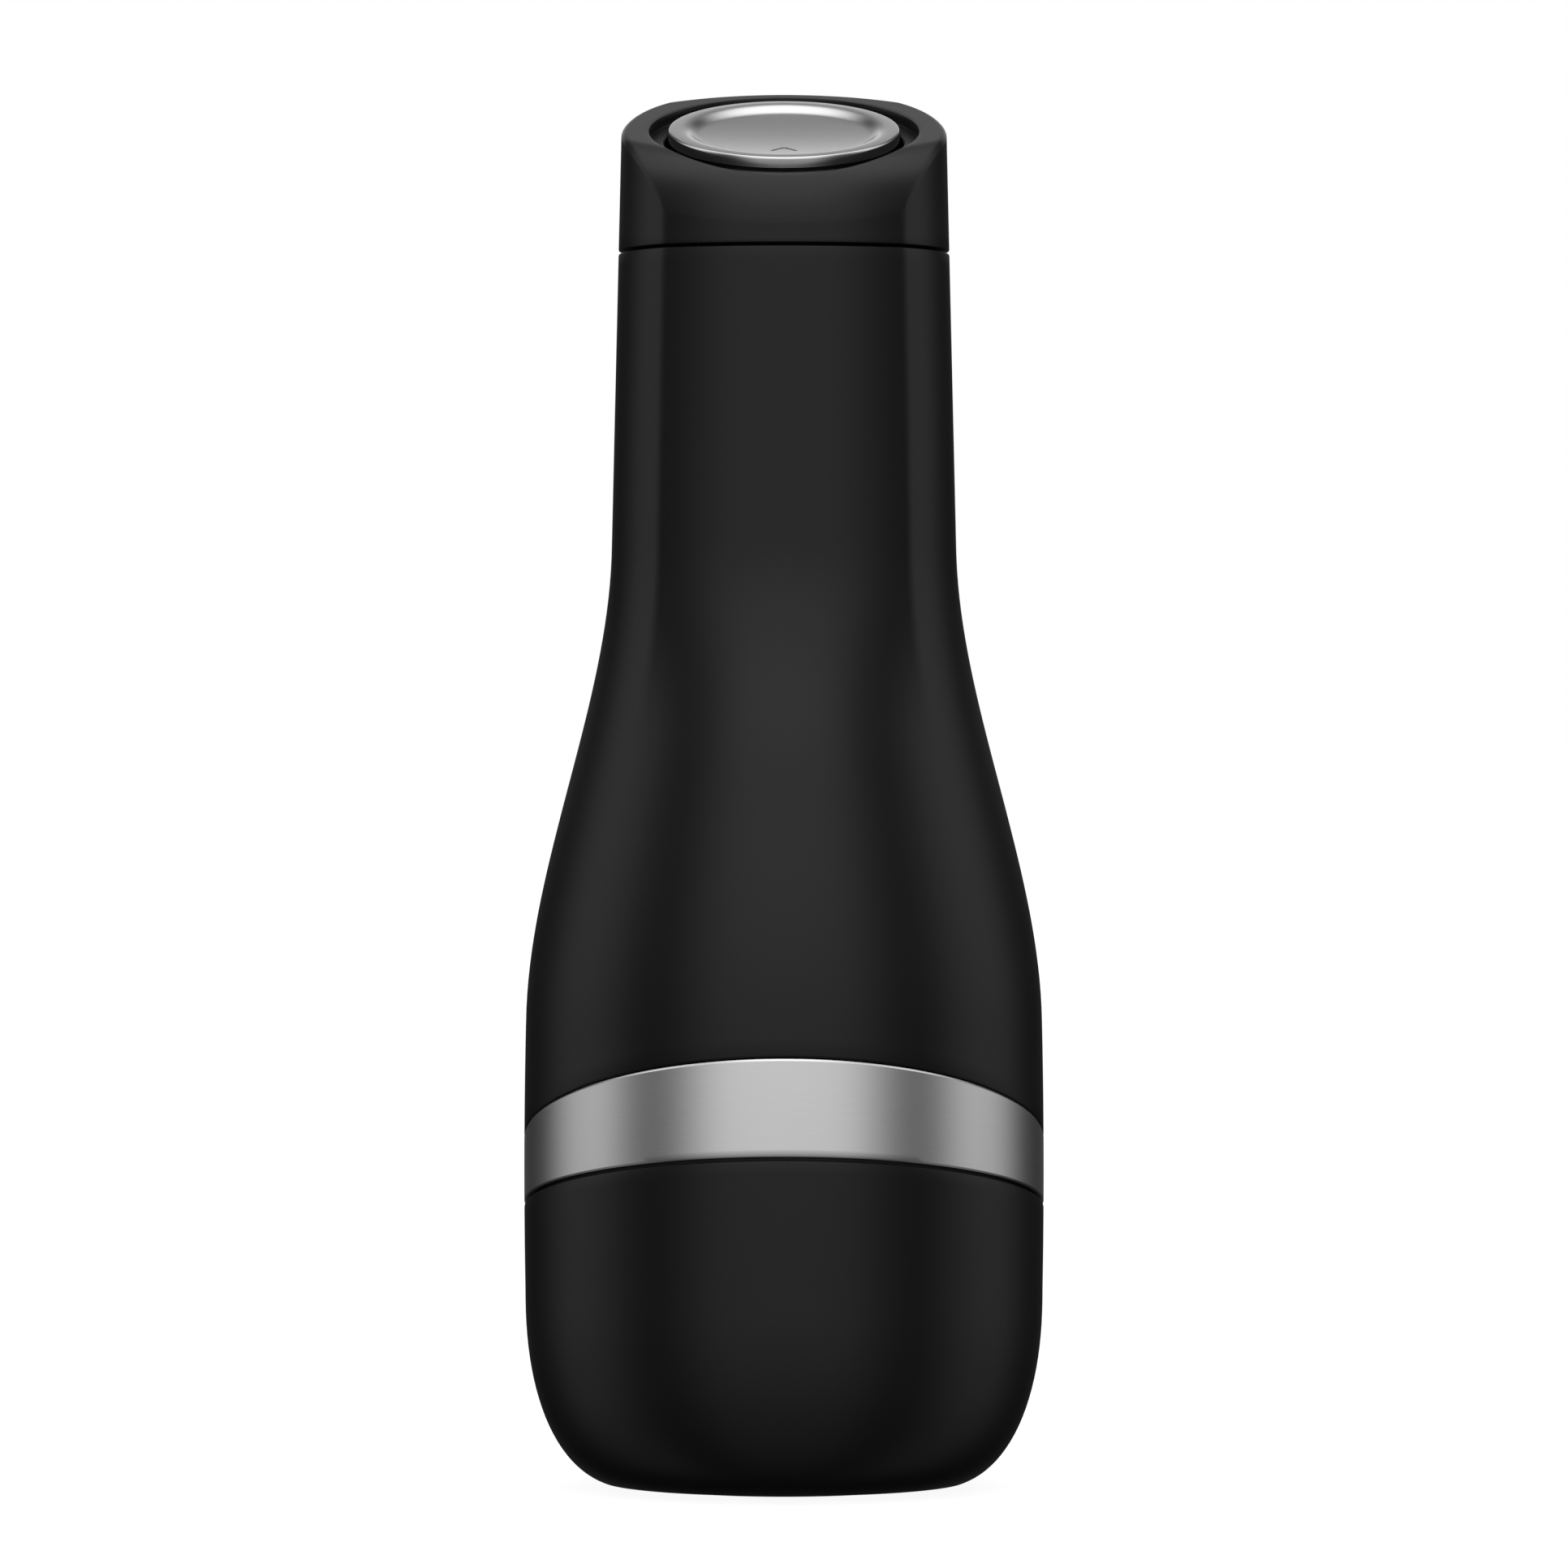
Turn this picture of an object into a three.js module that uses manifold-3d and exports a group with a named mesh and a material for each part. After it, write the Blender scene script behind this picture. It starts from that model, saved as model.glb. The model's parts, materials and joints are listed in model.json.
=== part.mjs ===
// Soda carbonator: a bottle-shaped 1-litre siphon with a push button on its screw-on head.
// Millimetres, +Z up, origin at the centre of the foot, front of the object towards -Y.
import * as THREE from 'three';
import { mergeVertices } from 'three/addons/utils/BufferGeometryUtils.js';
import Module from 'manifold-3d';

const wasm = await Module();
wasm.setup();
const { degToRad, smoothstep } = THREE.MathUtils;

// Outer form
const shoulderBottom = 100;
const shoulderLength = 100;
const neckLength = 63.6;
const headHeight = 26.7;
const splitRadius = 35.4;
const neckTaper = 0.0232;
const bellySwell = 16;
const tuckRate = 0.00036;
const cornerHeight = 42;
const cornerRadius = 33;
const cornerPower = 2.25;
const topTilt = degToRad(18.7);
const frontRoll = 18;

// Front and back panels, between two creases each
const creaseAngle = degToRad(46);
const panelBulge = 1.452;
const panelFade = 45;

// Slanted band
const bandBottomHeight = 60.4;
const bandBottomTilt = degToRad(12.6);
const bandTopHeight = 74.1;
const bandTopTilt = degToRad(18.9);
const bandWall = 1.3;

// Walls and clearances
const shellWall = 2.5;
const gap = 0.3;
const seamGap = 0.6;
const shadowGap = 0.8;
const runningGap = 0.2;

// Base
const undersideHeight = 0.9;
const baseFloor = 6;
const footPadRadius = 30;
const footPadHeight = 3;
const bumperInner = 26;
const bumperOuter = 36;
const bumperHeight = 2;

// Coupling ring
const ringBottom = 40;
const ringTop = 104;
const ringWall = 2.4;
const oringHeight = 44.5;
const oringTube = 0.65;
const landInset = 1.5;

// Pressure bottle and its screw neck
const bottlePlay = 0.8;
const bottleWall = 1.6;
const bottleCorner = 14;
const bottleShoulderBottom = 112;
const bottleShoulderTop = 195;
const spigotPlay = 1.2;
const neckWall = 2.9;
const flangeWidth = 4.5;
const flangeHeight = 2.5;
const flangeDrop = 57.6;
const bushHeight = 7.2;
const mouthDrop = 8.7;

// Screw thread between bottle neck and collar
const pitch = 5;
const threadTurns = 1.5;
const ridgeHeight = 1.5;
const bottleRidge = 1.3;
const threadOverlap = 0.7;
const threadDrop = 10.5;

// Valve block, in heights above the bottle's mouth
const gasketHeight = 1.8;
const blockFlange = 2.9;
const spigotWall = 5;
const spigotLength = 31.3;
const bossWall = 1.6;
const grooveDepth = 1.7;
const clipHeight = 1;
const clipWidth = 3.4;
const clipGap = 8;
const clipLand = 0.8;
const socketDepth = 10;
const chamberFloor = 9;
const pinRadius = 2;

// Valve pin, its seal, spring and gland
const sealHeight = 2;
const springWire = 0.4;
const springTurns = 5;
const springLength = 9.6;
const pinCollarRadius = 4.5;
const pinCollarPlay = 0.7;
const pinCollarHeight = 1.8;
const pinTail = 3;
const pinDome = 3;
const glandSlot = 1.2;

// Relief valve
const reliefWall = 2;
const reliefBore = 2.4;
const reliefSeat = 3;
const reliefPort = 1.1;
const poppetHeight = 2.3;
const poppetStem = 0.8;
const poppetStemLength = 12.4;
const reliefSpringWire = 0.3;
const reliefSpringLength = 6.8;

// Gas cartridge, sleeve and wand
const cartridgeRadius = 9.1;
const cartridgeLength = 66;
const cartridgeNeck = 4.3;
const cartridgeNeckLength = 6.3;
const cartridgeShoulder = 9;
const pierceRecess = 1.6;
const cartridgePlay = 1.5;
const sleeveWall = 2.5;
const sleeveFloor = 3;
const sleeveSpigot = 8;
const pierceBase = 1.7;
const needleLength = 3.8;
const needleReach = 1.1;
const needleBore = 0.6;
const wandOuter = 3;
const wandInner = 2;
const wandEntry = 6.5;
const nozzleRadius = 6.5;
const nozzleHeight = 16;
const nozzleClearance = 5.8;
const nozzleSocket = 6.3;
const sprayHole = 0.8;

// Head and its collar
const webHeight = 3.5;
const skirtPlay = 0.8;
const skirtWall = 3;
const skirtDrop = 22.5;
const cavityPlay = 1;
const wellMargin = 4.15;
const throatPlay = 0.85;
const wellDepth = 9;
const headFloor = 2;
const pillarRadius = 3.2;
const pillarPlay = 0.5;
const pillarAngles = [90, 210, 330];
const screwShank = 1.2;
const screwHead = 2.8;
const screwHeadHeight = 1.6;
const screwLength = 11;
const bushWall = 2.2;
const bushFlangeWidth = 2;
const bushFlangeHeight = 0.6;
const bushDepth = 13;
const bushBossHeight = 1.4;

// Button
const buttonRadius = 24.75;
const buttonProud = 0.5;
const buttonHeight = 2.6;
const buttonTaper = 0.15;
const rimRound = 1.1;
const rimWidth = 4.25;
const dishSlope = 2.5;
const dishDepth = 1.3;
const chevronWidth = 5.4;
const chevronStroke = 1.1;
const chevronRise = 3.5;
const chevronOffset = 10.6;
const chevronDepth = 0.3;
const carrierInset = 1.95;
const carrierPlate = 1.5;
const carrierSkirt = 0.9;
const carrierLip = 1.5;
const stemRadius = 4;
const padRadius = 10;
const padHeight = 2.2;
const padScrewHead = 2.6;
const padScrewHeadHeight = 1.2;
const padScrewShank = 1.05;
const pilotLength = 8;

// Radii that follow from the driving sizes, from the gas path outwards and from the button outwards
const sleeveInner = cartridgeRadius + cartridgePlay;
const sleeveOuter = sleeveInner + sleeveWall;
const socketRadius = sleeveOuter + gap;
const spigotRadius = socketRadius + spigotWall;
const neckInner = spigotRadius + spigotPlay;
const neckOuter = neckInner + neckWall;
const flangeRadius = neckOuter + flangeWidth;
const blockFlangeRadius = neckOuter + bottleRidge;
const skirtInner = neckOuter + bottleRidge + skirtPlay;
const skirtOuter = skirtInner + skirtWall;
const cavityRadius = skirtOuter + cavityPlay;
const chamberRadius = pinCollarRadius + pinCollarPlay;
const reliefOffset = chamberRadius + reliefWall + reliefBore;
const bossRadius = reliefOffset + reliefBore + bossWall + grooveDepth;
const clipInner = bossRadius - grooveDepth + gap;
const pillarCircle = clipInner + clipWidth + pillarRadius + pillarPlay;
const wellRadius = buttonRadius + wellMargin;
const throatRadius = buttonRadius + throatPlay;
const rimInner = buttonRadius - rimWidth;
const dishRadius = rimInner - dishSlope;
const carrierRadius = buttonRadius - carrierInset;
const bushBore = stemRadius + gap;
const bushOuter = bushBore + bushWall;
const bushFlange = bushOuter + bushFlangeWidth;
const bushBoss = bushOuter + gap + bushWall;

// Heights that follow from the driving sizes
const shoulderTop = shoulderBottom + shoulderLength;
const splitHeight = shoulderTop + neckLength;
const topHeight = splitHeight + headHeight;
const mouthHeight = splitHeight - mouthDrop;
const bodyTop = splitHeight - seamGap / 2;
const headBottom = splitHeight + seamGap / 2;
const gasketBottom = mouthHeight + gap;
const blockFlangeBottom = gasketBottom + gasketHeight + gap;
const blockFlangeTop = blockFlangeBottom + blockFlange;
const webBottom = blockFlangeTop + gap;
const webTop = webBottom + webHeight;
const clipBottom = webTop + gap;
const bossTop = clipBottom + clipHeight + runningGap + clipLand;
const spigotBottom = blockFlangeBottom - spigotLength;
const socketTop = spigotBottom + socketDepth;
const chamberBottom = socketTop + chamberFloor;
const reliefSeatHeight = chamberBottom + reliefSeat;
const springBottom = chamberBottom + sealHeight + 2 * gap;
const pinCollarBottom = springBottom + springLength + gap;
const glandBottom = pinCollarBottom + pinCollarHeight + gap;
const padTopDepth = bushDepth + gap;
const padBottomDepth = padTopDepth + padHeight;
const pierceBottom = socketTop - gap - pierceBase;
const cartridgeTop = pierceBottom - needleLength + needleReach;
const cartridgeBottom = cartridgeTop - cartridgeLength;
const sleeveFloorTop = cartridgeBottom - 2 * gap;
const sleeveFloorBottom = sleeveFloorTop - sleeveFloor;
const sleeveBottom = sleeveFloorBottom - sleeveSpigot;
const bottleBottom = baseFloor + bumperHeight + 2 * gap;
const nozzleBottom = bottleBottom + bottleWall + nozzleClearance;
const flangeBottom = splitHeight - flangeDrop;

// Radius of the round outline at a height
function silhouette(z) {
  const neckLine = splitRadius + neckTaper * (splitHeight - z);
  const shoulder = bellySwell * (1 - smoothstep(z, shoulderBottom, shoulderTop));
  const tuck = tuckRate * Math.max(0, shoulderBottom - z) ** 2;
  const wall = neckLine + shoulder - tuck;
  if (z >= cornerHeight) {
    return wall;
  }
  const rise = 1 - ((cornerHeight - z) / cornerHeight) ** cornerPower;
  return cornerRadius + (silhouette(cornerHeight) - cornerRadius) * Math.max(0, rise) ** (1 / cornerPower);
}

const bandRadius = silhouette(bandBottomHeight);
const ringInner = silhouette(ringBottom) - shellWall - gap - ringWall;
const bottleRadius = ringInner - bottlePlay;

// Share of the round radius that a panel keeps, at an angle from the front or the back
const panelDepth = Math.cos(creaseAngle) + panelBulge - Math.sqrt(panelBulge ** 2 - Math.sin(creaseAngle) ** 2);
function panelShare(angle) {
  if (angle >= creaseAngle) {
    return 1;
  }
  const centre = panelBulge - panelDepth;
  return Math.sqrt(panelBulge ** 2 - (centre * Math.sin(angle)) ** 2) - centre * Math.cos(angle);
}

// Flattens a round geometry into the two panels, which fade out down the shoulder
function flatten(geometry) {
  const position = geometry.attributes.position;
  for (let i = 0; i < position.count; i += 1) {
    const x = position.getX(i);
    const y = position.getY(i);
    const strength = smoothstep(position.getZ(i), shoulderTop - panelFade, shoulderTop);
    const share = 1 - strength * (1 - panelShare(Math.atan2(Math.abs(x), Math.abs(y))));
    position.setXY(i, x * share, y * share);
  }
  return geometry;
}

// Turns a closed geometry into a solid that can be joined and cut
function solid(geometry) {
  geometry.deleteAttribute('normal');
  geometry.deleteAttribute('uv');
  const merged = mergeVertices(geometry, 1e-4);
  const index = merged.index ? Array.from(merged.index.array) : [];
  const triangles = [];
  for (let i = 0; i < index.length; i += 3) {
    const [a, b, c] = index.slice(i, i + 3);
    if (a !== b && b !== c && a !== c) {
      triangles.push(a, b, c);
    }
  }
  return new wasm.Manifold(new wasm.Mesh({
    numProp: 3,
    vertProperties: new Float32Array(merged.attributes.position.array),
    triVerts: new Uint32Array(triangles),
  }));
}

// Revolves a profile of [radius, height] points about Z
function lathe(profile, segments = 40) {
  const points = profile.map(([radius, height]) => new THREE.Vector2(radius, height));
  return new THREE.LatheGeometry(points, segments).rotateX(Math.PI / 2);
}

function revolve(profile, segments) {
  return solid(lathe(profile, segments));
}

// A ring with a square section
function ring(inner, outer, bottom, top, segments) {
  const profile = [[inner, bottom], [outer, bottom], [outer, top], [inner, top], [inner, bottom]];
  return revolve(profile, segments);
}

// A closed cylinder, standing on Z
function rod(radius, bottom, top, segments = 20) {
  return revolve([[0, bottom], [radius, bottom], [radius, top], [0, top]], segments);
}

// Points of a circular arc, in degrees from the outward direction
function arc(radius, height, size, from, to, steps) {
  return Array.from({ length: steps + 1 }, (_, i) => {
    const angle = degToRad(from + (to - from) * i / steps);
    return [radius + size * Math.cos(angle), height + size * Math.sin(angle)];
  });
}

// Points of the outline, moved inwards, from one height to another
function outline(inset, from, to, steps) {
  return Array.from({ length: steps + 1 }, (_, i) => {
    const z = from + (to - from) * i / Math.max(1, steps);
    return [silhouette(z) - inset, z];
  });
}

// A round bar of rubber or wire in a plain loop
function torus(radius, height, tube, segments = 40) {
  return solid(new THREE.TorusGeometry(radius, tube, 6, segments).translate(0, 0, height));
}

// Wraps a straight extruded bar round Z as a helix
function helix(section, radius, bottom, rise, turns, stepsPerTurn) {
  const steps = Math.round(turns * stepsPerTurn);
  const bar = new THREE.ExtrudeGeometry(section, { depth: 1, steps, bevelEnabled: false, curveSegments: 6 });
  const position = bar.attributes.position;
  for (let i = 0; i < position.count; i += 1) {
    const along = position.getZ(i);
    const angle = 2 * Math.PI * turns * along;
    const out = radius + position.getX(i);
    position.setXYZ(i, out * Math.cos(angle), out * Math.sin(angle), bottom - position.getY(i) + rise * along);
  }
  return solid(bar);
}

function ridgeSection(inner, outer, height) {
  const shape = new THREE.Shape();
  shape.moveTo(inner, -height / 2);
  shape.lineTo(outer, -height / 4);
  shape.lineTo(outer, height / 4);
  shape.lineTo(inner, height / 2);
  shape.closePath();
  return shape;
}

function coilSpring(radius, wire, bottom, length, turns) {
  const corners = arc(0, 0, wire, 0, 288, 4).map(([x, y]) => new THREE.Vector2(x, y));
  return helix(new THREE.Shape(corners), radius, bottom + wire, length - 2 * wire, turns, 12);
}

// A large block whose underside is a plane through the axis at a height, tilted front-down or front-up
function blockAbove(height, tilt) {
  const size = 400;
  const box = new THREE.BoxGeometry(size, size, size).translate(0, 0, size / 2);
  return solid(box.rotateX(tilt).translate(0, 0, height));
}

// Moves a geometry from the button's own frame, with its top plane at zero, to its slanted place
function tilted(geometry) {
  return geometry.rotateX(topTilt).translate(0, 0, topHeight);
}

function tiltedRod(radius, bottom, top, segments = 24) {
  const profile = [[0, bottom], [radius, bottom], [radius, top], [0, top]];
  return solid(tilted(lathe(profile, segments)));
}

function tiltedBlockAbove(depth) {
  return blockAbove(topHeight - depth / Math.cos(topTilt), topTilt);
}

// Base cup: a rounded cup with a slanted rim and a recess for its foot pad
function baseCup() {
  const rimAllowance = bandBottomHeight + bandRadius * Math.tan(bandBottomTilt) + shellWall;
  const profile = [
    [0, footPadHeight + gap], [footPadRadius + gap, footPadHeight + gap], [footPadRadius + gap, undersideHeight],
    ...outline(0, undersideHeight, cornerHeight / 3, 3), ...outline(0, cornerHeight / 2, cornerHeight, 2),
    [silhouette(rimAllowance), rimAllowance], ...outline(shellWall, rimAllowance, cornerHeight, 1),
    ...outline(shellWall, cornerHeight / 2, baseFloor, 3), [0, baseFloor],
  ];
  return revolve(profile).subtract(blockAbove(bandBottomHeight - shadowGap, -bandBottomTilt));
}

function bodyShell() {
  const bottom = bandTopHeight - bandRadius * Math.tan(bandTopTilt) - shellWall;
  const profile = [
    ...outline(0, bottom, shoulderBottom, 2), ...outline(0, shoulderBottom + shoulderLength / 8, shoulderTop, 7),
    ...outline(0, bodyTop, bodyTop, 0), ...outline(shellWall, bodyTop, shoulderTop, 1),
    ...outline(shellWall, shoulderTop - shoulderLength / 8, shoulderBottom, 7), [silhouette(bottom) - shellWall, bottom],
  ];
  profile.push(profile[0]);
  return solid(flatten(lathe(profile))).intersect(blockAbove(bandTopHeight + gap, -bandTopTilt));
}

// Band: a thin tapered sleeve between two slanted planes
function steelBand() {
  const bottom = bandBottomHeight - bandRadius * Math.tan(bandBottomTilt) - shellWall;
  const top = bandTopHeight + bandRadius * Math.tan(bandTopTilt) + shellWall;
  const profile = [...outline(0, bottom, top, 2), ...outline(bandWall, top, bottom, 2)];
  profile.push(profile[0]);
  return revolve(profile)
    .intersect(blockAbove(bandBottomHeight, -bandBottomTilt))
    .subtract(blockAbove(bandTopHeight, -bandTopTilt));
}

// Coupling ring: joins the shell and the base, and carries the band on a raised land
function couplingRing() {
  const inset = shellWall + gap;
  const grooveHalf = oringTube + gap;
  const grooveRadius = silhouette(oringHeight) - inset - 2 * oringTube - runningGap;
  const profile = [
    [ringInner, ringBottom], ...outline(inset, ringBottom, oringHeight - grooveHalf, 1),
    [grooveRadius, oringHeight - grooveHalf], [grooveRadius, oringHeight + grooveHalf],
    ...outline(inset, oringHeight + grooveHalf, ringTop, 3), [ringInner, ringTop], [ringInner, ringBottom],
  ];
  const land = [...outline(bandWall + gap, oringHeight, ringTop, 2), ...outline(inset + 1, ringTop, oringHeight, 2)];
  land.push(land[0]);
  const raised = revolve(land)
    .intersect(blockAbove(bandBottomHeight + landInset, -bandBottomTilt))
    .subtract(blockAbove(bandTopHeight - landInset, -bandTopTilt));
  return revolve(profile).add(raised);
}

function spigotOring() {
  const outer = silhouette(oringHeight) - shellWall - runningGap;
  return torus(outer - oringTube, oringHeight, oringTube);
}

function bottleShoulder(wall, from, to, steps) {
  return Array.from({ length: steps + 1 }, (_, i) => {
    const z = from + (to - from) * i / steps;
    const share = 1 - smoothstep(z, bottleShoulderBottom, bottleShoulderTop);
    return [neckOuter + (bottleRadius - neckOuter) * share - wall, z];
  });
}

// Helical ridge: the bottle's points outwards, the collar's points inwards just below it
function threadRidge(from, to, drop) {
  const section = ridgeSection(0, to - from, ridgeHeight);
  return helix(section, from, mouthHeight - threadDrop - drop, pitch * threadTurns, threadTurns, 20);
}

// Pressure bottle: a deep-drawn aluminium vessel with a threaded neck and a support flange
function pressureBottle() {
  const inner = bottleCorner - bottleWall;
  const centre = bottleRadius - bottleCorner;
  const cornerCentre = bottleBottom + bottleCorner;
  const profile = [
    [0, bottleBottom], ...arc(centre, cornerCentre, bottleCorner, -90, 0, 4),
    ...bottleShoulder(0, bottleShoulderBottom, bottleShoulderTop, 6),
    [neckOuter, flangeBottom], [flangeRadius, flangeBottom], [flangeRadius, flangeBottom + flangeHeight],
    [neckOuter, flangeBottom + flangeHeight], [neckOuter, mouthHeight], [neckInner, mouthHeight],
    [neckInner, bottleShoulderTop], ...bottleShoulder(bottleWall, bottleShoulderTop - 6, bottleShoulderBottom, 5),
    ...arc(centre, cornerCentre, inner, 0, -90, 3), [0, bottleBottom + bottleWall],
  ];
  return revolve(profile, 32).add(threadRidge(neckOuter - gap, neckOuter + bottleRidge, 0));
}

function neckBush() {
  const bottom = flangeBottom + flangeHeight + gap;
  const top = bottom + bushHeight;
  const disc = [[0, bottom], ...outline(shellWall + gap, bottom, top, 1), [0, top]];
  const bore = rod(neckOuter + gap, bottom - 1, top + 1, 40);
  return solid(flatten(lathe(disc))).subtract(bore);
}

// Valve block: the machined core that seals the neck and carries everything of the gas path
function valveBlock() {
  const grooveBottom = clipBottom - runningGap;
  const grooveTop = clipBottom + clipHeight + runningGap;
  const groove = bossRadius - grooveDepth;
  const block = revolve([
    [socketRadius, spigotBottom], [spigotRadius, spigotBottom], [spigotRadius, blockFlangeBottom],
    [blockFlangeRadius, blockFlangeBottom], [blockFlangeRadius, blockFlangeTop], [bossRadius, blockFlangeTop],
    [bossRadius, grooveBottom], [groove, grooveBottom], [groove, grooveTop], [bossRadius, grooveTop],
    [bossRadius, bossTop], [chamberRadius, bossTop], [chamberRadius, chamberBottom],
    [pinRadius + gap, chamberBottom], [pinRadius + gap, socketTop], [socketRadius, socketTop],
    [socketRadius, spigotBottom],
  ], 28);
  const bore = rod(reliefBore, reliefSeatHeight, bossTop + 1).translate(reliefOffset, 0, 0);
  const portHeight = (socketTop + reliefSeatHeight) / 2 + 2 * reliefPort;
  const seat = rod(reliefPort, portHeight, reliefSeatHeight + 1, 12).translate(reliefOffset, 0, 0);
  const side = lathe([[0, 0], [reliefPort, 0], [reliefPort, 20], [0, 20]], 12).rotateY(Math.PI / 2);
  return block.subtract(bore).subtract(seat).subtract(solid(side.translate(reliefOffset, 0, portHeight)));
}

function mouthGasket() {
  return ring(spigotRadius + gap, neckOuter - gap, gasketBottom, gasketBottom + gasketHeight, 28);
}

// Retaining clip: an open ring that holds the head's collar on the boss
function retainingRing() {
  const clip = ring(clipInner, clipInner + clipWidth, clipBottom, clipBottom + clipHeight, 28);
  const opening = new THREE.BoxGeometry(clipGap, 2 * skirtOuter, 2 * clipHeight);
  return clip.subtract(solid(opening.translate(0, -skirtOuter, clipBottom + clipHeight / 2)));
}

function glandNut() {
  const nut = ring(pinRadius + 2 * gap, chamberRadius - gap, glandBottom, bossTop - gap, 24);
  const slot = new THREE.BoxGeometry(4 * chamberRadius, glandSlot, 2 * glandSlot).translate(0, 0, bossTop - gap);
  return nut.subtract(solid(slot));
}

function pinSeal() {
  const bottom = chamberBottom + gap;
  return ring(pinRadius + runningGap, chamberRadius - gap, bottom, bottom + sealHeight, 24);
}

function valveSpring() {
  const radius = (pinRadius + chamberRadius) / 2;
  return coilSpring(radius, springWire, springBottom, springLength, springTurns);
}

// Valve pin: a stepped pin with a domed tip that stays just under the button's pad
const domeCentre = topHeight - (padBottomDepth + gap + pinDome) / Math.cos(topTilt);
function valvePin() {
  const domeStart = 90 - THREE.MathUtils.radToDeg(Math.asin(pinRadius / pinDome));
  return revolve([
    [0, chamberBottom - pinTail], [pinRadius / 2, chamberBottom - pinTail], [pinRadius, chamberBottom - pinTail / 2],
    [pinRadius, pinCollarBottom], [pinCollarRadius, pinCollarBottom],
    [pinCollarRadius, pinCollarBottom + pinCollarHeight], [pinRadius, pinCollarBottom + pinCollarHeight],
    ...arc(0, domeCentre, pinDome, domeStart, 90, 3),
  ], 16);
}

function reliefPoppet() {
  const bottom = reliefSeatHeight + gap;
  const head = reliefBore - gap;
  return revolve([
    [0, bottom], [reliefPort, bottom], [head, bottom + poppetHeight / 3], [head, bottom + poppetHeight],
    [poppetStem, bottom + poppetHeight], [poppetStem, bottom + poppetHeight + poppetStemLength],
    [0, bottom + poppetHeight + poppetStemLength],
  ], 16).translate(reliefOffset, 0, 0);
}

const reliefSpringBottom = reliefSeatHeight + poppetHeight + 2 * gap;
function reliefSpring() {
  const radius = (poppetStem + reliefBore) / 2;
  const coil = coilSpring(radius, reliefSpringWire, reliefSpringBottom, reliefSpringLength, springTurns);
  return coil.translate(reliefOffset, 0, 0);
}

function reliefCap() {
  const bottom = reliefSpringBottom + reliefSpringLength + gap;
  return ring(poppetStem + gap, reliefBore - gap, bottom, bossTop - gap, 16).translate(reliefOffset, 0, 0);
}

// Piercing needle on its disc, bored through for the gas
function piercePin() {
  const tip = pierceBottom - needleLength;
  return revolve([
    [needleBore, tip], [pierceRecess - 2 * gap, tip], [pierceRecess, pierceBottom - 1],
    [pierceRecess, pierceBottom], [sleeveInner - gap, pierceBottom], [sleeveInner - gap, pierceBottom + pierceBase],
    [needleBore, pierceBottom + pierceBase], [needleBore, tip],
  ], 16);
}

function cartridge() {
  const neckBottom = cartridgeTop - cartridgeNeckLength;
  return revolve([
    ...arc(0, cartridgeBottom + cartridgeRadius, cartridgeRadius, -90, 0, 5),
    [cartridgeRadius, neckBottom - cartridgeShoulder], [cartridgeRadius - 1.5, neckBottom - cartridgeShoulder / 2],
    [cartridgeNeck, neckBottom], [cartridgeNeck, cartridgeTop], [pierceRecess, cartridgeTop],
    [pierceRecess, cartridgeTop - needleReach - gap], [0, cartridgeTop - needleReach - gap],
  ], 20);
}

// Sleeve: screws into the valve block round the cartridge, and holds the wand below
const sleeveTop = socketTop - gap;
const sleeveGroove = spigotBottom + 2.5;
function cartridgeSleeve() {
  const wandBore = wandOuter + gap;
  const floor = sleeveOuter - 1;
  const groove = sleeveOuter - oringTube;
  return revolve([
    [wandBore, sleeveBottom], [wandBore + bottleWall, sleeveBottom], [wandBore + bottleWall, sleeveFloorBottom],
    [floor, sleeveFloorBottom], [sleeveOuter, sleeveFloorTop], [sleeveOuter, sleeveGroove - oringTube],
    [groove, sleeveGroove - oringTube], [groove, sleeveGroove + oringTube], [sleeveOuter, sleeveGroove + oringTube],
    [sleeveOuter, sleeveTop], [sleeveInner, sleeveTop], [sleeveInner, sleeveFloorTop], [wandInner, sleeveFloorTop],
    [wandInner, sleeveBottom + wandEntry], [wandBore, sleeveBottom + wandEntry], [wandBore, sleeveBottom],
  ], 20);
}

function sleeveOring() {
  const tube = oringTube - gap;
  return torus(socketRadius - gap / 2 - tube, sleeveGroove, tube, 20);
}

function wandTube() {
  const bottom = nozzleBottom + nozzleHeight - nozzleSocket + gap;
  return ring(wandInner, wandOuter, bottom, sleeveBottom + wandEntry - gap, 12);
}

// Diffuser nozzle: a rounded plug with cross holes near its foot
function diffuserNozzle() {
  const top = nozzleBottom + nozzleHeight;
  const bore = wandOuter + gap;
  const body = revolve([
    [0, nozzleBottom], [nozzleRadius - 1.5, nozzleBottom], [nozzleRadius, nozzleBottom + 1.5],
    [nozzleRadius, top - wandOuter], [bore + 1.5, top], [bore, top], [bore, top - nozzleSocket],
    [wandInner, top - nozzleSocket], [wandInner, nozzleBottom + 2], [0, nozzleBottom + 2],
  ], 16);
  const length = 4 * nozzleRadius;
  const across = lathe([[0, 0], [sprayHole, 0], [sprayHole, length], [0, length]], 12).translate(0, 0, -length / 2);
  const height = nozzleBottom + 2 + 2 * sprayHole;
  const alongX = solid(across.clone().rotateY(Math.PI / 2).translate(0, 0, height));
  const alongY = solid(across.clone().rotateX(Math.PI / 2).translate(0, 0, height));
  return body.subtract(alongX).subtract(alongY);
}

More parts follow.
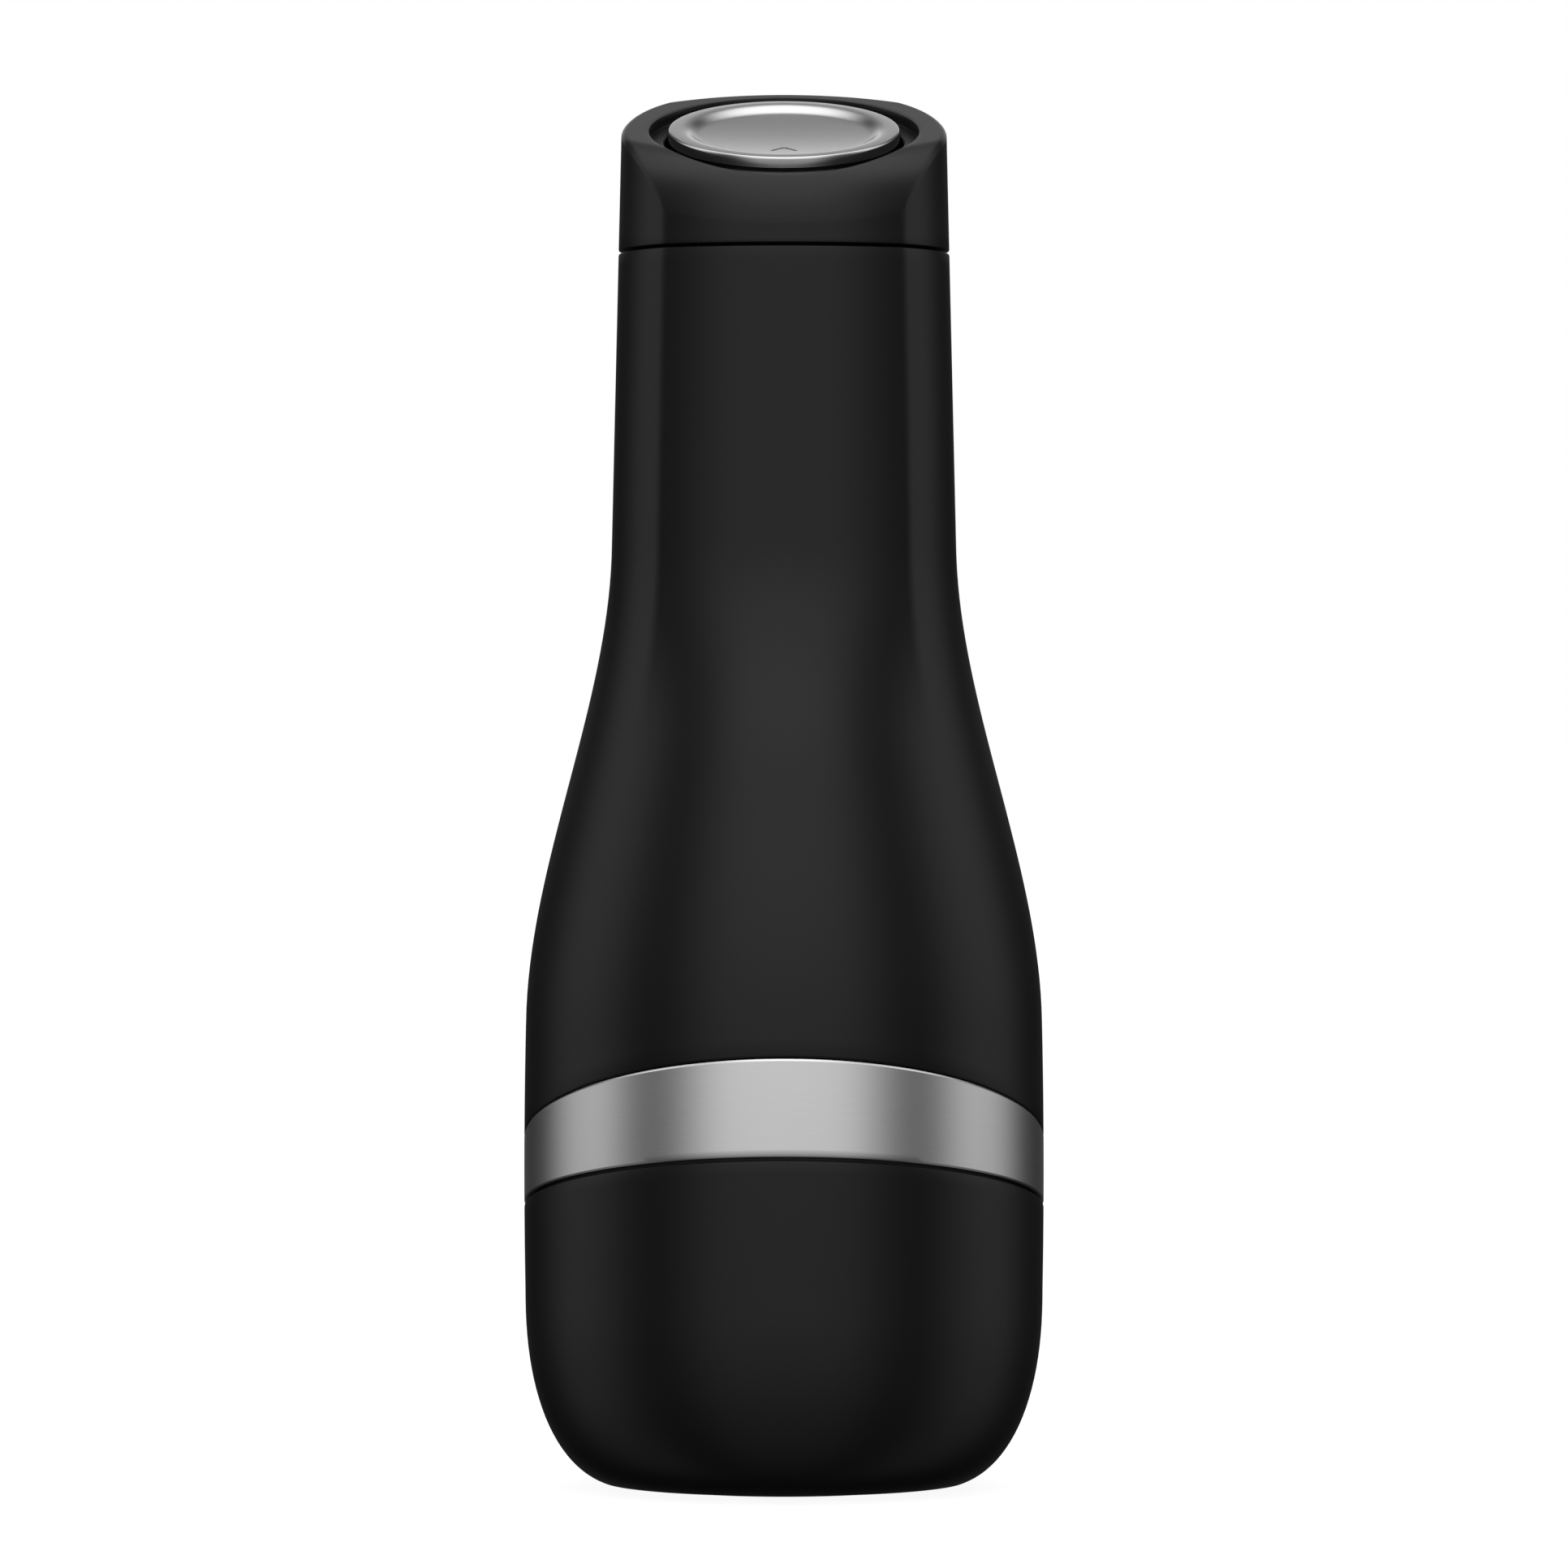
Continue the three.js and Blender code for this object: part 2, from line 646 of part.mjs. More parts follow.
// Side outline of the head: the front rolls back into the slanted top, and follows the panel's curve in plan
function headOutline() {
  const planeHeight = topHeight - buttonProud;
  const panelRadius = panelBulge * silhouette(headBottom);
  const frontDepth = silhouette(headBottom) * panelDepth;
  const centre = frontRoll - frontDepth;
  const rollHeight = planeHeight + centre * Math.tan(topTilt) - frontRoll / Math.cos(topTilt);
  const reach = 2 * splitRadius;
  const shape = new THREE.Shape();
  shape.moveTo(-frontDepth - shadowGap, headBottom - reach);
  shape.lineTo(-frontDepth, rollHeight);
  shape.absarc(centre, rollHeight, frontRoll, Math.PI, Math.PI / 2 + topTilt, true);
  shape.lineTo(reach, planeHeight + reach * Math.tan(topTilt));
  shape.lineTo(reach, headBottom - reach);
  shape.closePath();
  const width = 2 * silhouette(headBottom) + 2;
  const side = new THREE.ExtrudeGeometry(shape, { depth: width, steps: 18, bevelEnabled: false, curveSegments: 10 });
  const upright = new THREE.Matrix4().makeBasis(
    new THREE.Vector3(0, 1, 0),
    new THREE.Vector3(0, 0, 1),
    new THREE.Vector3(1, 0, 0),
  );
  side.applyMatrix4(upright).translate(-width / 2, 0, 0);
  const position = side.attributes.position;
  for (let i = 0; i < position.count; i += 1) {
    const setBack = panelRadius - Math.sqrt(panelRadius ** 2 - position.getX(i) ** 2);
    if (position.getY(i) < 0) {
      position.setY(i, position.getY(i) + setBack);
      position.setZ(i, position.getZ(i) + setBack * Math.tan(topTilt));
    }
  }
  return solid(side);
}

function pillar(angle) {
  const post = rod(pillarRadius, clipBottom, topHeight, 20);
  const pilot = rod(screwShank + runningGap, clipBottom - 1, clipBottom + screwLength - webHeight + 1, 12);
  const x = pillarCircle * Math.cos(degToRad(angle));
  const y = pillarCircle * Math.sin(degToRad(angle));
  return { post: post.translate(x, y, 0), pilot: pilot.translate(x, y, 0) };
}

// Head: hollow below, with a stepped slanted well for the button and three pillars for the collar's screws
function headShell() {
  const top = topHeight + 2 * splitRadius * Math.tan(topTilt);
  const round = [[0, headBottom], ...outline(0, headBottom, top, 2), [0, top]];
  const floorBottom = tiltedBlockAbove(wellDepth + headFloor);
  const cavity = rod(cavityRadius, headBottom - 1, top, 40).subtract(floorBottom);
  let head = solid(flatten(lathe(round))).intersect(headOutline()).subtract(cavity);
  head = head.subtract(tiltedRod(wellRadius, -buttonHeight - gap, topHeight / 4, 40));
  head = head.subtract(tiltedRod(throatRadius, -wellDepth, 0, 40));
  head = head.add(tiltedRod(bushBoss, -wellDepth - headFloor - bushBossHeight, -wellDepth - headFloor / 2, 24));
  for (const angle of pillarAngles) {
    const { post, pilot } = pillar(angle);
    head = head.add(post.subtract(tiltedBlockAbove(wellDepth + headFloor / 2))).subtract(pilot);
  }
  return head.subtract(tiltedRod(bushOuter + gap, -2 * bushDepth, 0, 24));
}

// Collar: a web that traps the valve block's flange, and a skirt with the inner thread
function threadCollar() {
  const skirtBottom = webBottom - skirtDrop;
  let collar = revolve([
    [skirtInner, skirtBottom], [skirtOuter, skirtBottom], [skirtOuter, webTop], [bossRadius + gap, webTop],
    [bossRadius + gap, webBottom], [skirtInner, webBottom], [skirtInner, skirtBottom],
  ], 32);
  collar = collar.add(threadRidge(skirtInner + gap, neckOuter + bottleRidge - threadOverlap, ridgeHeight + gap));
  for (const angle of pillarAngles) {
    const turn = [pillarCircle * Math.cos(degToRad(angle)), pillarCircle * Math.sin(degToRad(angle))];
    const hole = rod(screwShank + gap, webBottom - 1, webTop + 1, 16);
    const sink = rod(screwHead + gap, webBottom - 1, webBottom + screwHeadHeight + gap, 20);
    collar = collar.subtract(hole.add(sink).translate(turn[0], turn[1], 0));
  }
  return collar;
}

function collarScrew(angle) {
  const head = webBottom + screwHeadHeight;
  const bottom = webBottom + gap / 2;
  return revolve([
    [0, bottom], [screwHead, bottom], [screwHead, head - gap], [screwShank, head],
    [screwShank, bottom + screwLength], [0, bottom + screwLength + gap],
  ], 16).translate(pillarCircle * Math.cos(degToRad(angle)), pillarCircle * Math.sin(degToRad(angle)), 0);
}

// From here on, heights are measured from the slanted top plane, downwards negative
function guideBush() {
  const flangeTop = gap + bushFlangeHeight - wellDepth;
  return revolve([
    [bushBore, -bushDepth], [bushOuter, -bushDepth], [bushOuter, gap - wellDepth], [bushFlange, gap - wellDepth],
    [bushFlange, flangeTop], [bushBore, flangeTop], [bushBore, -bushDepth],
  ], 24);
}

// Push button: a dished steel cap with a small chevron cut near its front edge
function buttonDisc() {
  const round = arc(buttonRadius - rimRound, -rimRound, rimRound, 0, 90, 3);
  const cap = revolve([
    [0, -buttonHeight], [buttonRadius - buttonTaper, -buttonHeight], ...round, [rimInner + 1, -gap / 4],
    [rimInner, -gap], [dishRadius, -dishDepth], [0, -dishDepth],
  ]);
  const half = chevronWidth / 2;
  const shape = new THREE.Shape();
  shape.moveTo(-half, -chevronRise / 2 - chevronStroke / 2);
  shape.lineTo(0, chevronRise / 2 - chevronStroke / 2);
  shape.lineTo(half, -chevronRise / 2 - chevronStroke / 2);
  shape.lineTo(half, -chevronRise / 2 + chevronStroke / 2);
  shape.lineTo(0, chevronRise / 2 + chevronStroke / 2);
  shape.lineTo(-half, -chevronRise / 2 + chevronStroke / 2);
  shape.closePath();
  const mark = new THREE.ExtrudeGeometry(shape, { depth: 1, bevelEnabled: false });
  return cap.subtract(solid(mark.translate(0, -chevronOffset, -dishDepth - chevronDepth)));
}

function buttonCarrier() {
  const top = -buttonHeight - gap;
  const plate = top - carrierPlate;
  const stem = 0.1 - padTopDepth;
  return revolve([
    [0, plate - gap], [padScrewShank + runningGap, plate - gap], [padScrewShank + runningGap, stem], [stemRadius, stem],
    [stemRadius, plate], [carrierRadius - carrierLip, plate], [carrierRadius - carrierLip, plate - carrierSkirt],
    [carrierRadius, plate - carrierSkirt], [carrierRadius, top], [0, top],
  ], 32);
}

function pushPad() {
  const sink = padScrewHeadHeight + 2 * runningGap;
  return revolve([
    [padScrewHead + gap, -padBottomDepth], [padRadius, -padBottomDepth], [padRadius, -padTopDepth - gap],
    [padScrewShank + gap, -padTopDepth - gap], [padScrewShank + gap, sink - padBottomDepth],
    [padScrewHead + gap, sink - padBottomDepth], [padScrewHead + gap, -padBottomDepth],
  ], 24);
}

function padScrew() {
  const head = runningGap / 2 - padBottomDepth;
  const shoulder = head + padScrewHeadHeight;
  return revolve([
    [0, head], [padScrewHead, head], [padScrewHead, shoulder], [padScrewShank, shoulder],
    [padScrewShank, shoulder + pilotLength], [0, shoulder + pilotLength],
  ], 16);
}

// Finishes
const finish = (color, roughness, metalness) => new THREE.MeshStandardMaterial({ color, roughness, metalness });
const black = finish(0x1b1b1c, 0.42, 0);
const darkInner = finish(0x2a2a2c, 0.6, 0);
const brushed = finish(0xb9b8b4, 0.3, 1);
const drawnSteel = finish(0xa8a8a6, 0.35, 1);
const aluminium = finish(0xb4b5b6, 0.35, 1);
const machined = finish(0xc2c2c0, 0.25, 1);
const brass = finish(0xb08d4f, 0.3, 1);
const rubber = finish(0x141414, 0.85, 0);
const silicone = finish(0x8d8f92, 0.7, 0);
const natural = finish(0xd8d6cc, 0.5, 0);

const carbonator = new THREE.Group();
carbonator.name = 'soda_carbonator';
const slantedTop = new THREE.Group();
slantedTop.position.z = topHeight;
slantedTop.rotation.x = topTilt;
carbonator.add(slantedTop);

function addPiece(name, piece, material, parent = carbonator) {
  const { numProp, vertProperties, triVerts } = piece.getMesh();
  const geometry = new THREE.BufferGeometry();
  geometry.setAttribute('position', new THREE.BufferAttribute(new Float32Array(vertProperties), numProp));
  geometry.setIndex(Array.from(triVerts));
  geometry.computeVertexNormals();
  const mesh = new THREE.Mesh(geometry, material);
  mesh.name = name;
  parent.add(mesh);
}

// Base
addPiece('base_cup', baseCup(), black);
addPiece('foot_pad', rod(footPadRadius, 0, footPadHeight, 40), rubber);
const bumperBottom = baseFloor + gap;
addPiece('bottle_bumper', ring(bumperInner, bumperOuter, bumperBottom, bumperBottom + bumperHeight, 40), rubber);

// Housing
addPiece('body_shell', bodyShell(), black);
addPiece('steel_band', steelBand(), brushed);
addPiece('coupling_ring', couplingRing(), darkInner);
addPiece('spigot_oring', spigotOring(), rubber);
addPiece('pressure_bottle', pressureBottle(), aluminium);
addPiece('neck_bush', neckBush(), natural);

// Valve group
addPiece('valve_block', valveBlock(), aluminium);
addPiece('mouth_gasket', mouthGasket(), silicone);
addPiece('retaining_ring', retainingRing(), machined);
addPiece('gland_nut', glandNut(), brass);
addPiece('pin_seal', pinSeal(), rubber);
addPiece('valve_spring', valveSpring(), machined);
addPiece('valve_pin', valvePin(), machined);
addPiece('relief_poppet', reliefPoppet(), brass);
addPiece('relief_spring', reliefSpring(), machined);
addPiece('relief_cap', reliefCap(), brass);
addPiece('pierce_pin', piercePin(), machined);
addPiece('co2_cartridge', cartridge(), drawnSteel);
addPiece('cartridge_sleeve', cartridgeSleeve(), aluminium);
addPiece('sleeve_oring', sleeveOring(), rubber);
addPiece('wand_tube', wandTube(), machined);
addPiece('diffuser_nozzle', diffuserNozzle(), natural);

// Head
addPiece('head_shell', headShell(), black);
addPiece('thread_collar', threadCollar(), darkInner);
pillarAngles.forEach((angle, i) => addPiece(`collar_screw_${i + 1}`, collarScrew(angle), machined));
addPiece('guide_bush', guideBush(), natural, slantedTop);

// Button
addPiece('button_disc', buttonDisc(), brushed, slantedTop);
addPiece('button_carrier', buttonCarrier(), darkInner, slantedTop);
addPiece('push_pad', pushPad(), natural, slantedTop);
addPiece('pad_screw', padScrew(), machined, slantedTop);

export default carbonator;
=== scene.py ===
"""Soda carbonator: a bottle-shaped siphon with a slanted steel band and a push button in its slanted head."""
import json
import math

import bpy
from mathutils import Matrix, Vector


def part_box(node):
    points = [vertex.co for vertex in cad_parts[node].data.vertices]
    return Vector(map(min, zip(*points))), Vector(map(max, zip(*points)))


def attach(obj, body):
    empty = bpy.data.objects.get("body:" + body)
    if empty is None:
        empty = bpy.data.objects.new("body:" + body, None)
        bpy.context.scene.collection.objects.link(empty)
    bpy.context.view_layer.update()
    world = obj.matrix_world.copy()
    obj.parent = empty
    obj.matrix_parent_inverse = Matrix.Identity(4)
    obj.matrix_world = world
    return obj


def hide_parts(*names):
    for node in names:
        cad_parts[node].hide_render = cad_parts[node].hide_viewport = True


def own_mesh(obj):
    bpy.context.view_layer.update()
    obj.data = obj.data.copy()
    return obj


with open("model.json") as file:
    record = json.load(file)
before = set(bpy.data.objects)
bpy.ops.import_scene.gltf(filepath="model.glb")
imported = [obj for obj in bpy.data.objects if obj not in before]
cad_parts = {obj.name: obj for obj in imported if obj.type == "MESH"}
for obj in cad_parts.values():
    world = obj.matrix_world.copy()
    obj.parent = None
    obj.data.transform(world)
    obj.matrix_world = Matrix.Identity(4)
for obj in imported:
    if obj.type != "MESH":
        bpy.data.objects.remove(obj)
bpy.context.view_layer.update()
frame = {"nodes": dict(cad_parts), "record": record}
nodes = frame["nodes"]

# Camera. A long lens at half the object's height, looking level along +Y, as for a catalogue picture.
camera_distance = 1.747
camera_height = 0.150
view_width = 0.3356
camera_data = bpy.data.cameras.new("camera")
camera_data.sensor_width = 36.0
camera_data.lens = camera_data.sensor_width * camera_distance / view_width
camera = bpy.data.objects.new("camera", camera_data)
camera.location = (0.0, -camera_distance, camera_height)
camera.rotation_euler = (math.radians(90.0), 0.0, 0.0)
bpy.context.scene.collection.objects.link(camera)
bpy.context.scene.camera = camera
bpy.context.scene.view_settings.view_transform = "Standard"


# Studio. A pale floor, under a procedural sky of softboxes: a broad one in front, one on each side with a
# dark gap between, a small one high at the back and one overhead. To the camera the sky is plain white.
floor_radius = 40.0
floor_drop = 0.0005


def node_material(name):
    material = bpy.data.materials.new(name)
    material.use_nodes = True
    material.node_tree.nodes.clear()
    return material, material.node_tree.nodes, material.node_tree.links


bpy.ops.object.select_all(action="DESELECT")
bpy.ops.mesh.primitive_circle_add(
    vertices=96, radius=floor_radius, fill_type="NGON", location=(0.0, 0.0, -floor_drop),
)
floor = bpy.context.object
floor.name = "studio_floor"
floor.visible_glossy = False
floor.visible_diffuse = False
floor.visible_shadow = False
material, tree, links = node_material("studio_floor")
output = tree.new("ShaderNodeOutputMaterial")
pale = tree.new("ShaderNodeBsdfPrincipled")
pale.inputs["Base Color"].default_value = (0.2, 0.2, 0.2, 1.0)
pale.inputs["Roughness"].default_value = 0.9
pale.inputs["Specular IOR Level"].default_value = 0.0
pale.inputs["Emission Color"].default_value = (1.0, 1.0, 1.0, 1.0)
pale.inputs["Emission Strength"].default_value = 0.93
links.new(pale.outputs["BSDF"], output.inputs["Surface"])
floor.data.materials.append(material)

world = bpy.data.worlds.new("studio")
bpy.context.scene.world = world
world.use_nodes = True
tree = world.node_tree.nodes
links = world.node_tree.links
tree.clear()


def calculated(operation, *values):
    """A Math node fed by sockets or plain numbers."""
    node = tree.new("ShaderNodeMath")
    node.operation = operation
    for place, value in enumerate(values):
        if isinstance(value, (int, float)):
            node.inputs[place].default_value = value
        else:
            links.new(value, node.inputs[place])
    return node.outputs[0]


def brightness_curve(value, place_of, stops):
    """Smooth brightness along a 0-to-1 value, from (degrees, brightness) stops."""
    ramp = tree.new("ShaderNodeValToRGB")
    ramp.color_ramp.interpolation = "EASE"
    elements = ramp.color_ramp.elements
    while len(elements) > 1:
        elements.remove(elements[-1])
    elements[0].position = place_of(stops[0][0])
    elements[0].color = (*[stops[0][1]] * 3, 1.0)
    for degrees, brightness in stops[1:]:
        elements.new(place_of(degrees)).color = (*[brightness] * 3, 1.0)
    links.new(value, ramp.inputs["Fac"])
    return ramp.outputs["Color"]


def round_from_front(degrees):
    return degrees / 180.0


def up_from_below(degrees):
    return degrees / 180.0 + 0.5


sky_place = tree.new("ShaderNodeTexCoord")
sky_split = tree.new("ShaderNodeSeparateXYZ")
links.new(sky_place.outputs["Generated"], sky_split.inputs["Vector"])
sideways = calculated("ABSOLUTE", sky_split.outputs["X"])
forwards = calculated("MULTIPLY", sky_split.outputs["Y"], -1.0)
azimuth = calculated("DIVIDE", calculated("ARCTAN2", sideways, forwards), math.pi)
elevation = calculated("MULTIPLY_ADD", calculated("ARCSINE", sky_split.outputs["Z"]), 1.0 / math.pi, 0.5)
round_light = brightness_curve(azimuth, round_from_front, (
    (0, 1.0), (24, 1.0), (57, 0.14), (64, 0.15), (90, 0.80), (101, 0.74), (134, 0.05), (150, 0.02), (170, 0.08),
    (178, 0.14),
))
high_light = brightness_curve(elevation, up_from_below, (
    (-80, 0.07), (-40, 0.17), (-12, 0.34), (6, 0.54), (30, 0.68), (58, 0.98), (85, 0.92),
))
zenith = brightness_curve(elevation, up_from_below, ((45, 0.0), (78, 1.0)))
back_round = brightness_curve(azimuth, round_from_front, ((146, 0.0), (168, 1.0)))
back_high = brightness_curve(elevation, up_from_below, (
    (5, 0.0), (13, 1.3), (21, 1.4), (28, 0.7), (34, 0.3), (43, 0.06), (58, 0.0),
))
back_strength = 0.42
sky_total = 2.0
unlit_share = calculated("SUBTRACT", 1.0, round_light)
closed_over = calculated("ADD", round_light, calculated("MULTIPLY", unlit_share, zenith))
softboxes = calculated("MULTIPLY", closed_over, high_light)
back_box = calculated("MULTIPLY", calculated("MULTIPLY", back_round, back_high), back_strength)
sky_strength = calculated("MULTIPLY", calculated("ADD", softboxes, back_box), sky_total)
output = tree.new("ShaderNodeOutputWorld")
sky = tree.new("ShaderNodeBackground")
links.new(sky_strength, sky.inputs["Strength"])
backdrop = tree.new("ShaderNodeBackground")
backdrop.inputs["Color"].default_value = (1.0, 1.0, 1.0, 1.0)
backdrop.inputs["Strength"].default_value = 1.0
path = tree.new("ShaderNodeLightPath")
mix = tree.new("ShaderNodeMixShader")
links.new(path.outputs["Is Camera Ray"], mix.inputs["Fac"])
links.new(sky.outputs["Background"], mix.inputs[1])
links.new(backdrop.outputs["Background"], mix.inputs[2])
links.new(mix.outputs["Shader"], output.inputs["Surface"])


# Base cup. A deep black moulding with a rounded foot, a slanted rim and a recess for its foot pad.
# It pushes up over the coupling ring and pulls off downwards. Its sizes, in millimetres, come first.
MM = 0.001
SIDES = 180
split_height = (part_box("body_shell")[1][2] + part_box("head_shell")[0][2]) / 2 / MM
split_radius = 35.4
neck_taper = 0.0232
belly_swell = 16.0
shoulder_bottom = 100.0
shoulder_top = 200.0
tuck_rate = 0.00036
corner_height = 42.0
corner_radius = 33.0
corner_power = 2.25
shell_wall = 2.5
fit_gap = 0.3
edge_break = 0.3
band_bottom = (60.4, math.radians(12.6))
band_top = (74.1, math.radians(18.9))


def ease(value, low, high):
    """Smooth step from 0 at low to 1 at high."""
    share = min(1.0, max(0.0, (value - low) / (high - low)))
    return share * share * (3.0 - 2.0 * share)


def silhouette(z):
    """Radius of the round outline at a height."""
    neck_line = split_radius + neck_taper * (split_height - z)
    shoulder = belly_swell * (1.0 - ease(z, shoulder_bottom, shoulder_top))
    wall = neck_line + shoulder - tuck_rate * max(0.0, shoulder_bottom - z) ** 2
    if z >= corner_height:
        return wall
    rise = max(0.0, 1.0 - ((corner_height - z) / corner_height) ** corner_power)
    return corner_radius + (silhouette(corner_height) - corner_radius) * rise ** (1.0 / corner_power)


def steps(start, end, count):
    """Evenly spaced values from start to end, both included."""
    return [start + (end - start) * i / count for i in range(count + 1)]


def wall_line(inset, heights):
    """Profile points along the outline, moved inwards."""
    return [(silhouette(z) - inset, z) for z in heights]


def turned(name, profile, sides=SIDES):
    """A round piece: a circle extruded and scaled from point to point of a (radius, height) profile."""
    bpy.ops.object.select_all(action="DESELECT")
    closed = profile[0] == profile[-1]
    start_height = profile[0][1] if profile[0][0] == 0 else None
    end_height = profile[-1][1] if profile[-1][0] == 0 else None
    rings = [point for point in profile if point[0] > 0]
    radius, height = rings[0]
    bpy.ops.mesh.primitive_circle_add(vertices=sides, radius=radius * MM, location=(0, 0, height * MM))
    piece = bpy.context.object
    piece.name = name
    piece.data.name = name
    bpy.ops.object.transform_apply(location=True, rotation=True, scale=True)
    bpy.ops.object.mode_set(mode="EDIT")
    bpy.ops.mesh.select_mode(type="VERT")
    bpy.ops.mesh.select_all(action="SELECT")
    for next_radius, next_height in rings[1:]:
        rise = (0.0, 0.0, (next_height - height) * MM)
        bpy.ops.mesh.extrude_region_move(TRANSFORM_OT_translate={"value": rise})
        if next_radius != radius:
            scale = next_radius / radius
            bpy.ops.transform.resize(value=(scale, scale, 1.0), center_override=(0.0, 0.0, next_height * MM))
        radius, height = next_radius, next_height
    if end_height is not None:
        rise = (0.0, 0.0, (end_height - height) * MM)
        bpy.ops.mesh.extrude_region_move(TRANSFORM_OT_translate={"value": rise})
        bpy.ops.mesh.merge(type="CENTER")
    if start_height is not None:
        bpy.ops.mesh.select_all(action="DESELECT")
        bpy.ops.object.mode_set(mode="OBJECT")
        for vertex in piece.data.vertices[:sides]:
            vertex.select = True
        bpy.ops.object.mode_set(mode="EDIT")
        rise = (0.0, 0.0, (start_height - rings[0][1]) * MM)
        bpy.ops.mesh.extrude_region_move(TRANSFORM_OT_translate={"value": rise})
        bpy.ops.mesh.merge(type="CENTER")
    bpy.ops.mesh.select_all(action="SELECT")
    if closed:
        bpy.ops.mesh.remove_doubles(threshold=0.000001)
    bpy.ops.mesh.normals_make_consistent(inside=False)
    bpy.ops.object.mode_set(mode="OBJECT")
    return piece


def shaped(piece, move):
    """Moves each point of a piece, in millimetres, by a rule of its own place."""
    for vertex in piece.data.vertices:
        vertex.co = Vector(move(*(vertex.co / MM))) * MM
    piece.data.update()


def slanted(x, y, z, tilt, share):
    """Slides a point of the wall up or down, so that a level edge becomes a slanted one."""
    new_z = z - y * math.tan(tilt) * share
    radius = math.hypot(x, y)
    scale = (radius + silhouette(new_z) - silhouette(z)) / radius if radius > 1.0 else 1.0
    return x * scale, y * scale, new_z


def select_only(piece):
    bpy.ops.object.select_all(action="DESELECT")
    piece.select_set(True)
    bpy.context.view_layer.objects.active = piece


def smooth(piece, angle=32.0):
    select_only(piece)
    bpy.ops.object.shade_smooth_by_angle(angle=math.radians(angle))
    return piece


def fitted(piece, body, slot, material, *replaced):
    """Gives a finished piece its material, its moving body and the CAD nodes that it stands for."""
    piece.data.materials.clear()
    piece.data.materials.append(material)
    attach(piece, body)
    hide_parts(*replaced)


def socket(group, name, direction, kind, value=None):
    new = group.interface.new_socket(name=name, in_out=direction, socket_type=kind)
    if value is not None:
        new.default_value = value


# Fine moulded grain: two sizes of noise for the skin's texture and a slow drift of its gloss.
grain_group = bpy.data.node_groups.new("moulded_grain", "ShaderNodeTree")
socket(grain_group, "Dark", "INPUT", "NodeSocketColor", (0.010, 0.010, 0.011, 1.0))
socket(grain_group, "Light", "INPUT", "NodeSocketColor", (0.013, 0.013, 0.014, 1.0))
socket(grain_group, "Grain Scale", "INPUT", "NodeSocketFloat", 1800.0)
socket(grain_group, "Grain Depth", "INPUT", "NodeSocketFloat", 0.05)
socket(grain_group, "Gloss Low", "INPUT", "NodeSocketFloat", 0.33)
socket(grain_group, "Gloss High", "INPUT", "NodeSocketFloat", 0.39)
socket(grain_group, "Color", "OUTPUT", "NodeSocketColor")
socket(grain_group, "Roughness", "OUTPUT", "NodeSocketFloat")
socket(grain_group, "Normal", "OUTPUT", "NodeSocketVector")
tree = grain_group.nodes
links = grain_group.links
group_in = tree.new("NodeGroupInput")
group_out = tree.new("NodeGroupOutput")
place = tree.new("ShaderNodeTexCoord")
fine = tree.new("ShaderNodeTexNoise")
fine.inputs["Detail"].default_value = 3.0
links.new(place.outputs["Object"], fine.inputs["Vector"])
links.new(group_in.outputs["Grain Scale"], fine.inputs["Scale"])
slow = tree.new("ShaderNodeTexNoise")
slow.inputs["Scale"].default_value = 14.0
slow.inputs["Detail"].default_value = 4.0
links.new(place.outputs["Object"], slow.inputs["Vector"])
tone = tree.new("ShaderNodeMix")
tone.data_type = "RGBA"
links.new(fine.outputs["Fac"], tone.inputs[0])
links.new(group_in.outputs["Dark"], tone.inputs[6])
links.new(group_in.outputs["Light"], tone.inputs[7])
gloss = tree.new("ShaderNodeMapRange")
links.new(slow.outputs["Fac"], gloss.inputs["Value"])
links.new(group_in.outputs["Gloss Low"], gloss.inputs["To Min"])
links.new(group_in.outputs["Gloss High"], gloss.inputs["To Max"])
bump = tree.new("ShaderNodeBump")
bump.inputs["Distance"].default_value = 0.00006
links.new(group_in.outputs["Grain Depth"], bump.inputs["Strength"])
links.new(fine.outputs["Fac"], bump.inputs["Height"])
links.new(tone.outputs[2], group_out.inputs["Color"])
links.new(gloss.outputs["Result"], group_out.inputs["Roughness"])
links.new(bump.outputs["Normal"], group_out.inputs["Normal"])


def moulded(name, dark, light, gloss_range, grain_depth=0.05, grain_scale=1800.0, ior=1.46):
    """A moulded plastic or rubber."""
    material, tree, links = node_material(name)
    output = tree.new("ShaderNodeOutputMaterial")
    skin = tree.new("ShaderNodeBsdfPrincipled")
    skin.inputs["IOR"].default_value = ior
    grain = tree.new("ShaderNodeGroup")
    grain.node_tree = grain_group
    grain.inputs["Dark"].default_value = (*dark, 1.0)
    grain.inputs["Light"].default_value = (*light, 1.0)
    grain.inputs["Gloss Low"].default_value = gloss_range[0]
    grain.inputs["Gloss High"].default_value = gloss_range[1]
    grain.inputs["Grain Depth"].default_value = grain_depth
    grain.inputs["Grain Scale"].default_value = grain_scale
    links.new(grain.outputs["Color"], skin.inputs["Base Color"])
    links.new(grain.outputs["Roughness"], skin.inputs["Roughness"])
    links.new(grain.outputs["Normal"], skin.inputs["Normal"])
    links.new(skin.outputs["BSDF"], output.inputs["Surface"])
    return material


satin_black = moulded(
    "satin_black", (0.0040, 0.0040, 0.0042), (0.0055, 0.0055, 0.0058), (0.30, 0.35), ior=1.38,
)

